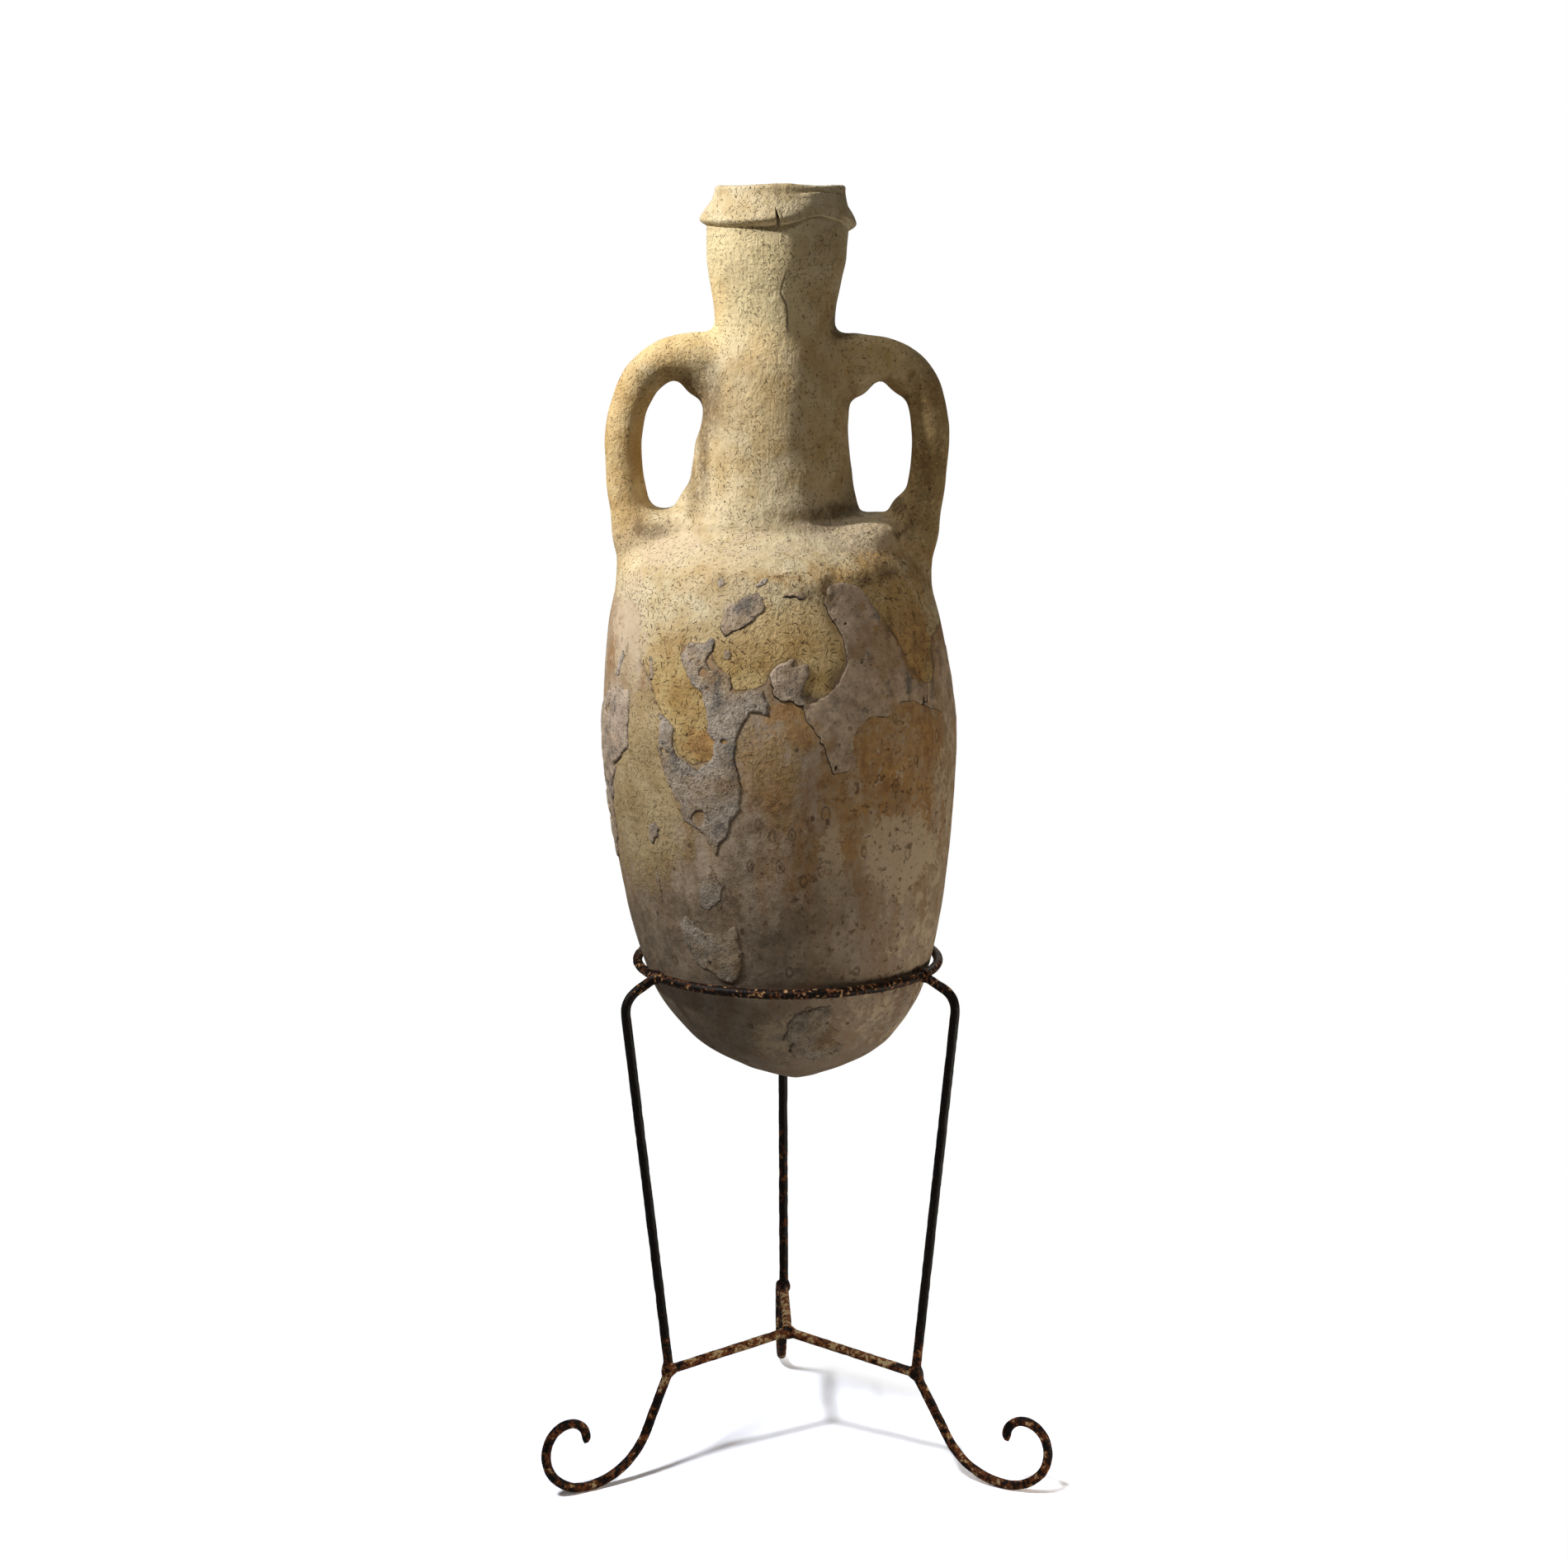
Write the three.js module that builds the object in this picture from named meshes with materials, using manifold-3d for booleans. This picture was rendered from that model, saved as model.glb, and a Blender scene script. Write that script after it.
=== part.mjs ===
// Two-handled storage jar of hand-built terracotta, standing in an iron tripod.
//
// The jar has a round toe and cannot stand by itself. It hangs by its lower
// belly in the ring of a tripod bent from round bar, and lifts straight out.
// The clay pieces are the body, the neck, two handles and a strip folded round
// the mouth, joined with thin luting gaps. The stand is a ring, three scroll
// footed legs and three braces, held by weld beads.
//
// Millimetres, +Z up. The front is -Y and the handles lie along X. The origin is
// under the middle of the whole outline, on the floor.

import * as THREE from 'three';
import { mergeVertices, toCreasedNormals } from 'three/addons/utils/BufferGeometryUtils.js';
import Module from 'manifold-3d';

const wasm = await Module();
wasm.setup();

const { degToRad, lerp } = THREE.MathUtils;

// Shared clearances and counts
const LUTING_GAP = 0.3;
const CUT_OVERRUN = 2;
const ROUND_SIDES = 36;
const BAR_SIDES = 10;
const HANDLE_SIDES = 14;
const HANDLE_STEPS = 24;
const OUTLINE_STEPS = 24;
const LEAN_STEPS = 64;
const SHOULDER_STEPS = 5;
const KNEE_STEPS = 3;
const FLOOR_HALF_STEP = Math.PI / 24;
const HALVINGS = 50;

// Jar body, measured from the toe
const BELLY_RADIUS = 172.5;
const BELLY_HEIGHT = 552;
const BELLY_WALL = 11;

// Neck, measured from its seat on the shoulder
const NECK_HEIGHT = 315;
const NECK_WALL = 10.5;
const NECK_FOOT_RADIUS = 84;
const NECK_MIDDLE_RADIUS = 71;
const NECK_WAIST_RADIUS = 58.5;
const NECK_TOP_RADIUS = 67.5;
const NECK_REBATE = 6.5;
const NECK_LIP_TAPER = 3.5;

// Strip of clay folded round the mouth
const COLLAR_HEIGHT = 40;
const COLLAR_RIDGE_RADIUS = 73.5;
const COLLAR_TOP_RADIUS = 61;
const COLLAR_LIP_DROP = 0.8;
const SPLIT_WIDTH = 2.5;
const SPLIT_HEIGHT = 14;
const SPLIT_OFFSET = 3.5;
const SPLIT_TILT = 14;

// Handles, measured from the jar axis and from the seat of the neck
const LEFT_HANDLE_REACH = 144;
const RIGHT_HANDLE_REACH = 147.5;
const LEFT_HANDLE_TOP = 155;
const RIGHT_HANDLE_TOP = 157;
const HANDLE_FOOT_DEPTH = 78;
const HANDLE_THICKNESS = 38.5;
const HANDLE_WIDTH = 41;

// How far the hand-built jar leans out of true
const LEAN = 13;

// Tripod of round bar
const BAR_DIAMETER = 10;
const RING_RADIUS = 147;
const RING_HEIGHT = 502;
const SHOULDER_RADIUS = 183;
const SHOULDER_DROP = 18;
const SHOULDER_BEND = 24;
const KNEE_BEND = 16;
const HUB_HEIGHT = 118;
const SWEEP_RADIUS = 73;
const SCROLL_RADIUS = 51;
const SCROLL_END = 303;
const FOOT_FLAT = 0.5;
const TRIPOD_TURN = 1.64;
const LEFT_BEARING = 210;
const RIGHT_BEARING = 330;
const REAR_BEARING = 90;

// Each leg is bent by hand, so its knee and its foot have sizes of their own.
const LEFT_KNEE_RADIUS = 136.5;
const LEFT_KNEE_HEIGHT = 105;
const LEFT_FOOT_REACH = 229;
const RIGHT_KNEE_RADIUS = 142.5;
const RIGHT_KNEE_HEIGHT = 100;
const RIGHT_FOOT_REACH = 241;
const REAR_KNEE_RADIUS = 140;
const REAR_KNEE_HEIGHT = 116;
const REAR_FOOT_REACH = 252;

// Shares of the sizes above that shape the outlines
const BELLY_OUTLINE_SHARES = [
  [0, 0], [0.174, 0.019], [0.342, 0.041], [0.504, 0.07], [0.609, 0.101], [0.745, 0.16],
  [0.82, 0.22], [0.9, 0.325], [0.955, 0.44], [0.988, 0.54], [1, 0.635], [0.985, 0.71],
  [0.942, 0.81], [0.872, 0.893], [0.765, 0.942],
];
const FOOT_TO_MIDDLE_SHARES = [[0, 0], [0.5, 0.1], [0.85, 0.2], [1, 0.3]];
const MIDDLE_TO_WAIST_SHARES = [[0.06, 0.4], [0.4, 0.53], [0.88, 0.625], [1, 0.684]];
const WAIST_TO_TOP_SHARES = [[0.2, 0.76], [0.55, 0.825], [0.88, 0.9], [1, 1]];
const COLLAR_OUTLINE_SHARES = [
  [0.78, 0], [1, 0.09], [0.94, 0.2], [0.6, 0.36], [0.3, 0.53], [0.13, 0.74], [0.03, 0.93],
  [-0.14, 1],
];
const LEFT_HANDLE_SHARES = [
  [0.34, 1], [0.55, 1], [0.73, 0.977], [0.88, 0.905], [0.97, 0.79], [1, 0.657],
  [0.995, 0.528], [0.96, 0.4], [0.905, 0.258], [0.85, 0.129], [0.79, 0],
];
const RIGHT_HANDLE_SHARES = [
  [0.33, 0.98], [0.54, 0.985], [0.74, 0.975], [0.885, 0.915], [0.97, 0.81], [1, 0.67],
  [0.99, 0.53], [0.955, 0.4], [0.9, 0.258], [0.84, 0.129], [0.775, 0],
];
const HANDLE_SWELL_SHARES = [1.3, 1.16, 1.03, 1, 1, 1, 1.01, 1.1, 1.32, 1.5, 1.3];
const SWELL_DEPTH_SHARE = 0.5;
const LEAN_SHARES = [
  [0, 0.62], [0.144, 0], [0.3, -0.38], [0.41, -0.62], [0.576, -1], [0.75, -0.9], [0.86, -0.92],
  [0.95, -0.72], [1, -0.54],
];
const SCROLL_SHRINK_SHARE = 0.65;
const WELD_SHARE = 1.5;
const BAR_END_SHARE = 0.3;
const UPPER_HALF_SHARE = 0.5;

// Sizes that follow from the driving ones
const barRadius = BAR_DIAMETER / 2;
const chordDrop = SWEEP_RADIUS * (1 - Math.cos(FLOOR_HALF_STEP));
const footLevel = barRadius * Math.cos(Math.PI / BAR_SIDES) - chordDrop - FOOT_FLAT;
const jarHeight = BELLY_HEIGHT + NECK_HEIGHT;
const neckShaftHeight = NECK_HEIGHT - COLLAR_HEIGHT;
const neckSeatRadius = NECK_TOP_RADIUS - NECK_REBATE;
const neckLipRadius = neckSeatRadius - NECK_LIP_TAPER;
const shoulderMouthRadius = NECK_FOOT_RADIUS - NECK_WALL;

// A closed geometry as a solid that can be cut and joined. A mirrored sweep
// comes out inside out, so its triangles are turned round here.
function solidOf(geometry) {
  const bare = geometry.clone();
  bare.deleteAttribute('normal');
  bare.deleteAttribute('uv');
  const merged = mergeVertices(bare);
  const triVerts = Uint32Array.from(merged.index.array);
  const vertProperties = Float32Array.from(merged.attributes.position.array);
  const solid = new wasm.Manifold(new wasm.Mesh({ numProp: 3, vertProperties, triVerts }));
  if (solid.volume() > 0) {
    return solid;
  }
  triVerts.reverse();
  return new wasm.Manifold(new wasm.Mesh({ numProp: 3, vertProperties, triVerts }));
}

function geometryOf(solid) {
  const mesh = solid.getMesh();
  const geometry = new THREE.BufferGeometry();
  geometry.setAttribute('position', new THREE.BufferAttribute(mesh.vertProperties, 3));
  geometry.setIndex(new THREE.BufferAttribute(mesh.triVerts, 1));
  return geometry;
}

// Revolves an outline of (radius, height) points about the Z axis.
function revolve(outline) {
  return solidOf(new THREE.LatheGeometry(outline, ROUND_SIDES).rotateX(Math.PI / 2));
}

// Moves an outline outwards, square to itself, by a distance.
function offsetOutline(outline, distance) {
  return outline.map((point, i) => {
    const before = outline[Math.max(i - 1, 0)];
    const after = outline[Math.min(i + 1, outline.length - 1)];
    const along = new THREE.Vector2().subVectors(after, before).normalize();
    return new THREE.Vector2(point.x + along.y * distance, point.y - along.x * distance);
  });
}

// The whole jar leans a little, as one, so luted faces stay matched. The lean
// is nothing where the belly sits in the ring.
const leanCurve = new THREE.SplineCurve(
  LEAN_SHARES.map(([height, lean]) => new THREE.Vector2(height, lean)),
).getPoints(LEAN_STEPS);

function leanAt(height) {
  const share = THREE.MathUtils.clamp(height / jarHeight, 0, 1);
  const found = leanCurve.findIndex((point) => point.x >= share);
  const upper = Math.max(found < 0 ? leanCurve.length - 1 : found, 1);
  const [from, to] = [leanCurve[upper - 1], leanCurve[upper]];
  return LEAN * THREE.MathUtils.mapLinear(share, from.x, to.x, from.y, to.y);
}

function leaned(solid) {
  return solid.warp((point) => {
    point[0] += leanAt(point[2]) - leanAt(seatOnJar);
  });
}

// Jar body: one shell from the toe over the shoulder to the seat of the neck
const bellyOutline = new THREE.SplineCurve([
  ...BELLY_OUTLINE_SHARES.map(([r, z]) => new THREE.Vector2(r * BELLY_RADIUS, z * BELLY_HEIGHT)),
  new THREE.Vector2(NECK_FOOT_RADIUS, BELLY_HEIGHT),
]).getPoints(OUTLINE_STEPS);
bellyOutline[0].x = 0;

function bellyLining() {
  const lining = offsetOutline(bellyOutline, -BELLY_WALL);
  lining[0].set(0, BELLY_WALL);
  const mouth = lining.findIndex(
    (point) => point.y > BELLY_HEIGHT * UPPER_HALF_SHARE && point.x < shoulderMouthRadius,
  );
  const kept = mouth < 0 ? lining : lining.slice(0, mouth);
  const edge = kept[kept.length - 1];
  const next = mouth < 0 ? edge : lining[mouth];
  const part = mouth < 0 ? 1 : (edge.x - shoulderMouthRadius) / (edge.x - next.x);
  kept.push(new THREE.Vector2(shoulderMouthRadius, lerp(edge.y, next.y, part)));
  return kept;
}

function makeBelly() {
  const rim = new THREE.Vector2(shoulderMouthRadius, BELLY_HEIGHT);
  return revolve([...bellyOutline, rim, ...bellyLining().reverse()]);
}

// The body as a solid plug, grown by a gap, for cutting what is luted on to it
function bellyPlug(gap) {
  const grown = offsetOutline(bellyOutline, gap);
  grown[0].x = 0;
  return revolve([...grown, new THREE.Vector2(0, BELLY_HEIGHT + gap)]);
}

// Neck: a flared foot, a waist, and a rebate under the strip of the mouth
function neckOutline() {
  const stretches = [
    [FOOT_TO_MIDDLE_SHARES, NECK_FOOT_RADIUS, NECK_MIDDLE_RADIUS],
    [MIDDLE_TO_WAIST_SHARES, NECK_MIDDLE_RADIUS, NECK_WAIST_RADIUS],
    [WAIST_TO_TOP_SHARES, NECK_WAIST_RADIUS, NECK_TOP_RADIUS],
  ];
  return stretches.flatMap(([shares, from, to]) => shares.map(
    ([part, z]) => new THREE.Vector2(lerp(from, to, part), z * neckShaftHeight),
  ));
}

function makeNeck() {
  const shaft = neckOutline();
  const bore = shaft.map((point) => new THREE.Vector2(point.x - NECK_WALL, point.y));
  bore[bore.length - 1].x = neckSeatRadius - NECK_WALL;
  return revolve([
    ...shaft,
    new THREE.Vector2(neckSeatRadius, neckShaftHeight),
    new THREE.Vector2(neckLipRadius, NECK_HEIGHT),
    new THREE.Vector2(neckLipRadius - NECK_WALL, NECK_HEIGHT),
    ...bore.reverse(),
    shaft[0].clone(),
  ]).translate(0, 0, BELLY_HEIGHT + LUTING_GAP);
}

function neckPlug(gap) {
  const shaft = neckOutline().map((point) => new THREE.Vector2(point.x + gap, point.y));
  shaft[0].y -= gap;
  return revolve([
    new THREE.Vector2(0, shaft[0].y),
    ...shaft,
    new THREE.Vector2(0, neckShaftHeight),
  ]).translate(0, 0, BELLY_HEIGHT + LUTING_GAP);
}

// Strip folded round the mouth: it hangs over the neck with a ridge near its
// lower edge, and its ends do not quite meet at the front.
function makeCollar() {
  const base = neckShaftHeight + LUTING_GAP;
  const rise = COLLAR_HEIGHT - LUTING_GAP - COLLAR_LIP_DROP;
  const outside = COLLAR_OUTLINE_SHARES.map(([out, up]) => new THREE.Vector2(
    lerp(COLLAR_TOP_RADIUS, COLLAR_RIDGE_RADIUS, out),
    base + up * rise,
  ));
  const taper = NECK_LIP_TAPER / COLLAR_HEIGHT;
  const insideAt = (height) => neckSeatRadius + LUTING_GAP - (height - neckShaftHeight) * taper;
  const ring = revolve([
    new THREE.Vector2(insideAt(base), base),
    ...outside,
    new THREE.Vector2(insideAt(base + rise), base + rise),
    new THREE.Vector2(insideAt(base), base),
  ]);
  const gapBlade = solidOf(new THREE.BoxGeometry(SPLIT_WIDTH, COLLAR_RIDGE_RADIUS, 2 * SPLIT_HEIGHT))
    .rotate(0, SPLIT_TILT, 0)
    .translate(SPLIT_OFFSET, -COLLAR_RIDGE_RADIUS, base);
  return ring.subtract(gapBlade).translate(0, 0, BELLY_HEIGHT + LUTING_GAP);
}

// Skins a row of closed rings of points, with a fan over each end.
function loft(rings) {
  const sides = rings[0].length;
  const points = rings.flat();
  const faces = [];
  for (let ring = 0; ring < rings.length - 1; ring += 1) {
    for (let side = 0; side < sides; side += 1) {
      const next = (side + 1) % sides;
      const [a, b] = [ring * sides + side, ring * sides + next];
      faces.push(a, b, a + sides, b, b + sides, a + sides);
    }
  }
  const lastRing = (rings.length - 1) * sides;
  for (let side = 1; side < sides - 1; side += 1) {
    faces.push(0, side + 1, side);
    faces.push(lastRing, lastRing + side, lastRing + side + 1);
  }
  const geometry = new THREE.BufferGeometry().setFromPoints(points);
  geometry.setIndex(faces);
  return solidOf(geometry);
}

// Handle: an oval roll of clay from the neck over to the shoulder, pressed out
// wider where it is luted on. Side is -1 for the left one and 1 for the right.
function makeHandle(side, pathShares, reach, top) {
  const rise = top + HANDLE_FOOT_DEPTH;
  const path = new THREE.CatmullRomCurve3(pathShares.map(([out, up]) => new THREE.Vector3(
    side * out * reach,
    0,
    BELLY_HEIGHT - HANDLE_FOOT_DEPTH + up * rise,
  )), false, 'centripetal');
  const rings = [];
  for (let step = 0; step <= HANDLE_STEPS; step += 1) {
    const along = step / HANDLE_STEPS;
    const place = along * (HANDLE_SWELL_SHARES.length - 1);
    const low = Math.min(Math.floor(place), HANDLE_SWELL_SHARES.length - 2);
    const swell = lerp(HANDLE_SWELL_SHARES[low], HANDLE_SWELL_SHARES[low + 1], place - low);
    const centre = path.getPoint(along);
    const tangent = path.getTangent(along);
    const across = new THREE.Vector3(tangent.z, 0, -tangent.x);
    const ring = [];
    for (let k = 0; k < HANDLE_SIDES; k += 1) {
      const turn = (2 * Math.PI * k) / HANDLE_SIDES;
      const point = centre.clone();
      point.addScaledVector(across, Math.cos(turn) * swell * HANDLE_THICKNESS / 2);
      point.y += Math.sin(turn) * lerp(1, swell, SWELL_DEPTH_SHARE) * HANDLE_WIDTH / 2;
      ring.push(point);
    }
    rings.push(ring);
  }
  return loft(rings).subtract(neckPlug(LUTING_GAP)).subtract(bellyPlug(LUTING_GAP));
}

// Height on the jar that rests at the middle of the ring: the highest at which
// the belly still clears the ring's bar by the luting gap.
function findSeat() {
  const clearance = (height) => {
    const ring = new THREE.Vector2(RING_RADIUS, height);
    let nearest = Infinity;
    for (let i = 1; i < bellyOutline.length; i += 1) {
      const [from, to] = [bellyOutline[i - 1], bellyOutline[i]];
      const along = new THREE.Vector2().subVectors(to, from);
      const reach = new THREE.Vector2().subVectors(ring, from);
      const part = THREE.MathUtils.clamp(reach.dot(along) / along.lengthSq(), 0, 1);
      nearest = Math.min(nearest, reach.addScaledVector(along, -part).length());
      if (height >= from.y && height < to.y) {
        const level = (height - from.y) / (to.y - from.y);
        if (RING_RADIUS < lerp(from.x, to.x, level)) {
          return -1;
        }
      }
    }
    return nearest - barRadius - LUTING_GAP;
  };
  const widest = bellyOutline.reduce((best, point) => (point.x > best.x ? point : best));
  let [clear, blocked] = [0, widest.y];
  for (let halving = 0; halving < HALVINGS; halving += 1) {
    const middle = (clear + blocked) / 2;
    if (clearance(middle) > 0) {
      clear = middle;
    } else {
      blocked = middle;
    }
  }
  return clear;
}

const seatOnJar = findSeat();

// A bent bar follows stations chosen where it turns, with few along its
// straight runs, so the sweep steps from station to station.
class StationPath extends THREE.Curve {
  constructor(stations) {
    super();
    this.stations = stations;
  }

  getPoint(t) {
    const place = t * (this.stations.length - 1);
    const low = Math.min(Math.floor(place), this.stations.length - 2);
    return this.stations[low].clone().lerp(this.stations[low + 1], place - low);
  }

  getPointAt(u) {
    return this.getPoint(u);
  }

  getTangentAt(u) {
    const at = Math.round(u * (this.stations.length - 1));
    const before = this.stations[Math.max(at - 1, 0)];
    const here = this.stations[at];
    const after = this.stations[Math.min(at + 1, this.stations.length - 1)];
    const arriving = here.clone().sub(before).normalize();
    const leaving = after.clone().sub(here).normalize();
    return arriving.add(leaving).normalize();
  }
}

// Round bar of a radius along a row of stations
function sweepBar(stations, radius) {
  const section = new THREE.Shape();
  for (let k = 0; k < BAR_SIDES; k += 1) {
    const turn = (2 * Math.PI * k) / BAR_SIDES;
    const [x, y] = [radius * Math.cos(turn), radius * Math.sin(turn)];
    if (k === 0) {
      section.moveTo(x, y);
    } else {
      section.lineTo(x, y);
    }
  }
  section.closePath();
  return solidOf(new THREE.ExtrudeGeometry(section, {
    steps: stations.length - 1,
    extrudePath: new StationPath(stations),
    bevelEnabled: false,
  }));
}

function ringBar(radius) {
  const ring = new THREE.TorusGeometry(RING_RADIUS, radius, BAR_SIDES, ROUND_SIDES);
  return solidOf(ring).translate(0, 0, RING_HEIGHT);
}

// A leg and what is welded to it are drawn in the plane of X and Z, with X
// running out from the ring's axis, and turned to their bearing afterwards.
const flatPoint = (x, z) => new THREE.Vector3(x, 0, z);

// Stations of a rounded corner between two straight runs
function roundedCorner(from, corner, to, bend, steps) {
  const arriving = corner.clone().sub(from).normalize();
  const leaving = to.clone().sub(corner).normalize();
  const turn = arriving.angleTo(leaving);
  const cutBack = bend * Math.tan(turn / 2);
  const start = corner.clone().addScaledVector(arriving, -cutBack);
  const end = corner.clone().addScaledVector(leaving, cutBack);
  const curve = new THREE.QuadraticBezierCurve3(start, corner, end);
  return curve.getPoints(steps);
}

// The foot sweeps down to the floor on an arc, then curls up as a spiral whose
// radius shrinks by the same share in every quarter turn. Both are described by
// their heading, which is 0 on the floor and grows as the bar curls back in.
function scrollPoint(heading, reach) {
  if (heading < 0) {
    return flatPoint(
      reach + SWEEP_RADIUS * Math.sin(heading),
      footLevel + SWEEP_RADIUS * (1 - Math.cos(heading)),
    );
  }
  const decay = Math.log(SCROLL_SHRINK_SHARE) / (Math.PI / 2);
  const twist = Math.atan2(1, decay);
  const from = (angle) => {
    const size = SCROLL_RADIUS * Math.exp(decay * angle) / Math.hypot(decay, 1);
    return flatPoint(size * Math.cos(angle - twist), size * Math.sin(angle - twist));
  };
  return from(heading).sub(from(0)).add(flatPoint(reach, footLevel));
}

// Heading at which a straight run from the knee meets the sweep smoothly
function sweepStart({ knee, reach }) {
  const side = (heading) => {
    const run = scrollPoint(heading, reach).sub(knee);
    return Math.cos(heading) * run.z - Math.sin(heading) * run.x;
  };
  let [low, high] = [-Math.PI / 2, -Math.PI / 12];
  const lowSide = Math.sign(side(low));
  for (let halving = 0; halving < HALVINGS; halving += 1) {
    const middle = (low + high) / 2;
    if (Math.sign(side(middle)) === lowSide) {
      low = middle;
    } else {
      high = middle;
    }
  }
  return low;
}

const ringPoint = flatPoint(RING_RADIUS, RING_HEIGHT);
const shoulderPoint = flatPoint(SHOULDER_RADIUS, RING_HEIGHT - SHOULDER_DROP);
const hubPoint = flatPoint(0, HUB_HEIGHT);
const legStart = shoulderPoint.clone().sub(ringPoint).normalize();
const braceRun = ({ knee }) => knee.clone().sub(hubPoint).normalize();

// One bar for the whole leg: off the ring, over the shoulder, in to the knee
// and out along the floor to the scroll
function legBar(leg, radius) {
  const start = ringPoint.clone().addScaledVector(legStart, barRadius * BAR_END_SHARE);
  const heading = sweepStart(leg);
  const stations = [
    start,
    ...roundedCorner(start, shoulderPoint, leg.knee, SHOULDER_BEND, SHOULDER_STEPS),
    ...roundedCorner(shoulderPoint, leg.knee, scrollPoint(heading, leg.reach), KNEE_BEND, KNEE_STEPS),
  ];
  const step = 2 * FLOOR_HALF_STEP;
  const before = Math.max(Math.round(-heading / step), 1);
  for (let k = 0; k < before; k += 1) {
    stations.push(scrollPoint(lerp(heading, -FLOOR_HALF_STEP, k / before), leg.reach));
  }
  const end = degToRad(SCROLL_END);
  const after = Math.round(end / step);
  for (let k = 0; k <= after; k += 1) {
    stations.push(scrollPoint(lerp(-FLOOR_HALF_STEP, end, k / after), leg.reach));
  }
  return sweepBar(stations, radius);
}

function makeLeg(leg) {
  const floorCut = legBar(leg, barRadius).trimByPlane([0, 0, 1], 0);
  return floorCut.subtract(ringBar(barRadius + LUTING_GAP).rotate(0, 0, -leg.bearing));
}

function braceBar(leg, radius) {
  const end = leg.knee.clone().addScaledVector(braceRun(leg), -barRadius * BAR_END_SHARE);
  return sweepBar([hubPoint, end], radius);
}

// Three braces meet at the hub, so each is cut to a third of a turn there.
function makeBrace(leg) {
  const back = LUTING_GAP / Math.sin(Math.PI / 3) / 2;
  const reachOut = leg.knee.x + CUT_OVERRUN;
  const halfWidth = Math.tan(Math.PI / 3) * (reachOut - back);
  const wedge = new THREE.Shape();
  wedge.moveTo(back, 0);
  wedge.lineTo(reachOut, -halfWidth);
  wedge.lineTo(reachOut, halfWidth);
  wedge.closePath();
  const depth = HUB_HEIGHT + leg.knee.z;
  const third = solidOf(new THREE.ExtrudeGeometry(wedge, { depth, bevelEnabled: false }));
  return braceBar(leg, barRadius).intersect(third).subtract(legBar(leg, barRadius + LUTING_GAP));
}

function bead(centre) {
  const lump = new THREE.IcosahedronGeometry(barRadius * WELD_SHARE, 1);
  return solidOf(lump).translate(centre.x, centre.y, centre.z);
}

function makeRingWeld(leg) {
  const grown = barRadius + LUTING_GAP;
  return bead(ringPoint.clone().addScaledVector(legStart, grown))
    .subtract(ringBar(grown).rotate(0, 0, -leg.bearing))
    .subtract(legBar(leg, grown));
}

function makeBraceWeld(leg) {
  const grown = barRadius + LUTING_GAP;
  return bead(leg.knee.clone().addScaledVector(braceRun(leg), -grown))
    .subtract(legBar(leg, grown))
    .subtract(braceBar(leg, grown));
}

function makeHubWeld(legs) {
  return legs.reduce(
    (lump, leg) => lump.subtract(braceBar(leg, barRadius + LUTING_GAP).rotate(0, 0, leg.bearing)),
    bead(hubPoint),
  );
}

// Colours and finishes
const CREASE_ANGLE = degToRad(35);
const finishes = {
  bellyClay: { color: 0x8b7654, roughness: 0.86, metalness: 0 },
  neckClay: { color: 0xb9a67c, roughness: 0.9, metalness: 0 },
  rimClay: { color: 0xbba981, roughness: 0.9, metalness: 0 },
  handleClay: { color: 0xae9a6f, roughness: 0.9, metalness: 0 },
  blackIron: { color: 0x2b2421, roughness: 0.62, metalness: 0.35 },
  weldIron: { color: 0x4b3628, roughness: 0.75, metalness: 0.3 },
};

function pieceOf(name, solid, finish) {
  const geometry = toCreasedNormals(geometryOf(solid), CREASE_ANGLE);
  const mesh = new THREE.Mesh(geometry, new THREE.MeshStandardMaterial(finish));
  mesh.name = name;
  return mesh;
}

// Jar, built on its own axis from its toe, then set down in the ring
const leftHandle = makeHandle(-1, LEFT_HANDLE_SHARES, LEFT_HANDLE_REACH, LEFT_HANDLE_TOP);
const rightHandle = makeHandle(1, RIGHT_HANDLE_SHARES, RIGHT_HANDLE_REACH, RIGHT_HANDLE_TOP);
const jar = new THREE.Group();
jar.position.z = RING_HEIGHT - seatOnJar;
jar.add(
  pieceOf('belly', leaned(makeBelly()), finishes.bellyClay),
  pieceOf('neck', leaned(makeNeck()), finishes.neckClay),
  pieceOf('rim_collar', leaned(makeCollar()), finishes.rimClay),
  pieceOf('left_handle', leaned(leftHandle), finishes.handleClay),
  pieceOf('right_handle', leaned(rightHandle), finishes.handleClay),
);

// Tripod, with each leg, brace and pair of beads turned to its bearing
const legs = [
  {
    side: 'left',
    bearing: LEFT_BEARING + TRIPOD_TURN,
    knee: flatPoint(LEFT_KNEE_RADIUS, LEFT_KNEE_HEIGHT),
    reach: LEFT_FOOT_REACH,
  },
  {
    side: 'right',
    bearing: RIGHT_BEARING + TRIPOD_TURN,
    knee: flatPoint(RIGHT_KNEE_RADIUS, RIGHT_KNEE_HEIGHT),
    reach: RIGHT_FOOT_REACH,
  },
  {
    side: 'rear',
    bearing: REAR_BEARING + TRIPOD_TURN,
    knee: flatPoint(REAR_KNEE_RADIUS, REAR_KNEE_HEIGHT),
    reach: REAR_FOOT_REACH,
  },
];
const stand = new THREE.Group();
stand.add(pieceOf('stand_ring', ringBar(barRadius), finishes.blackIron));
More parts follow.
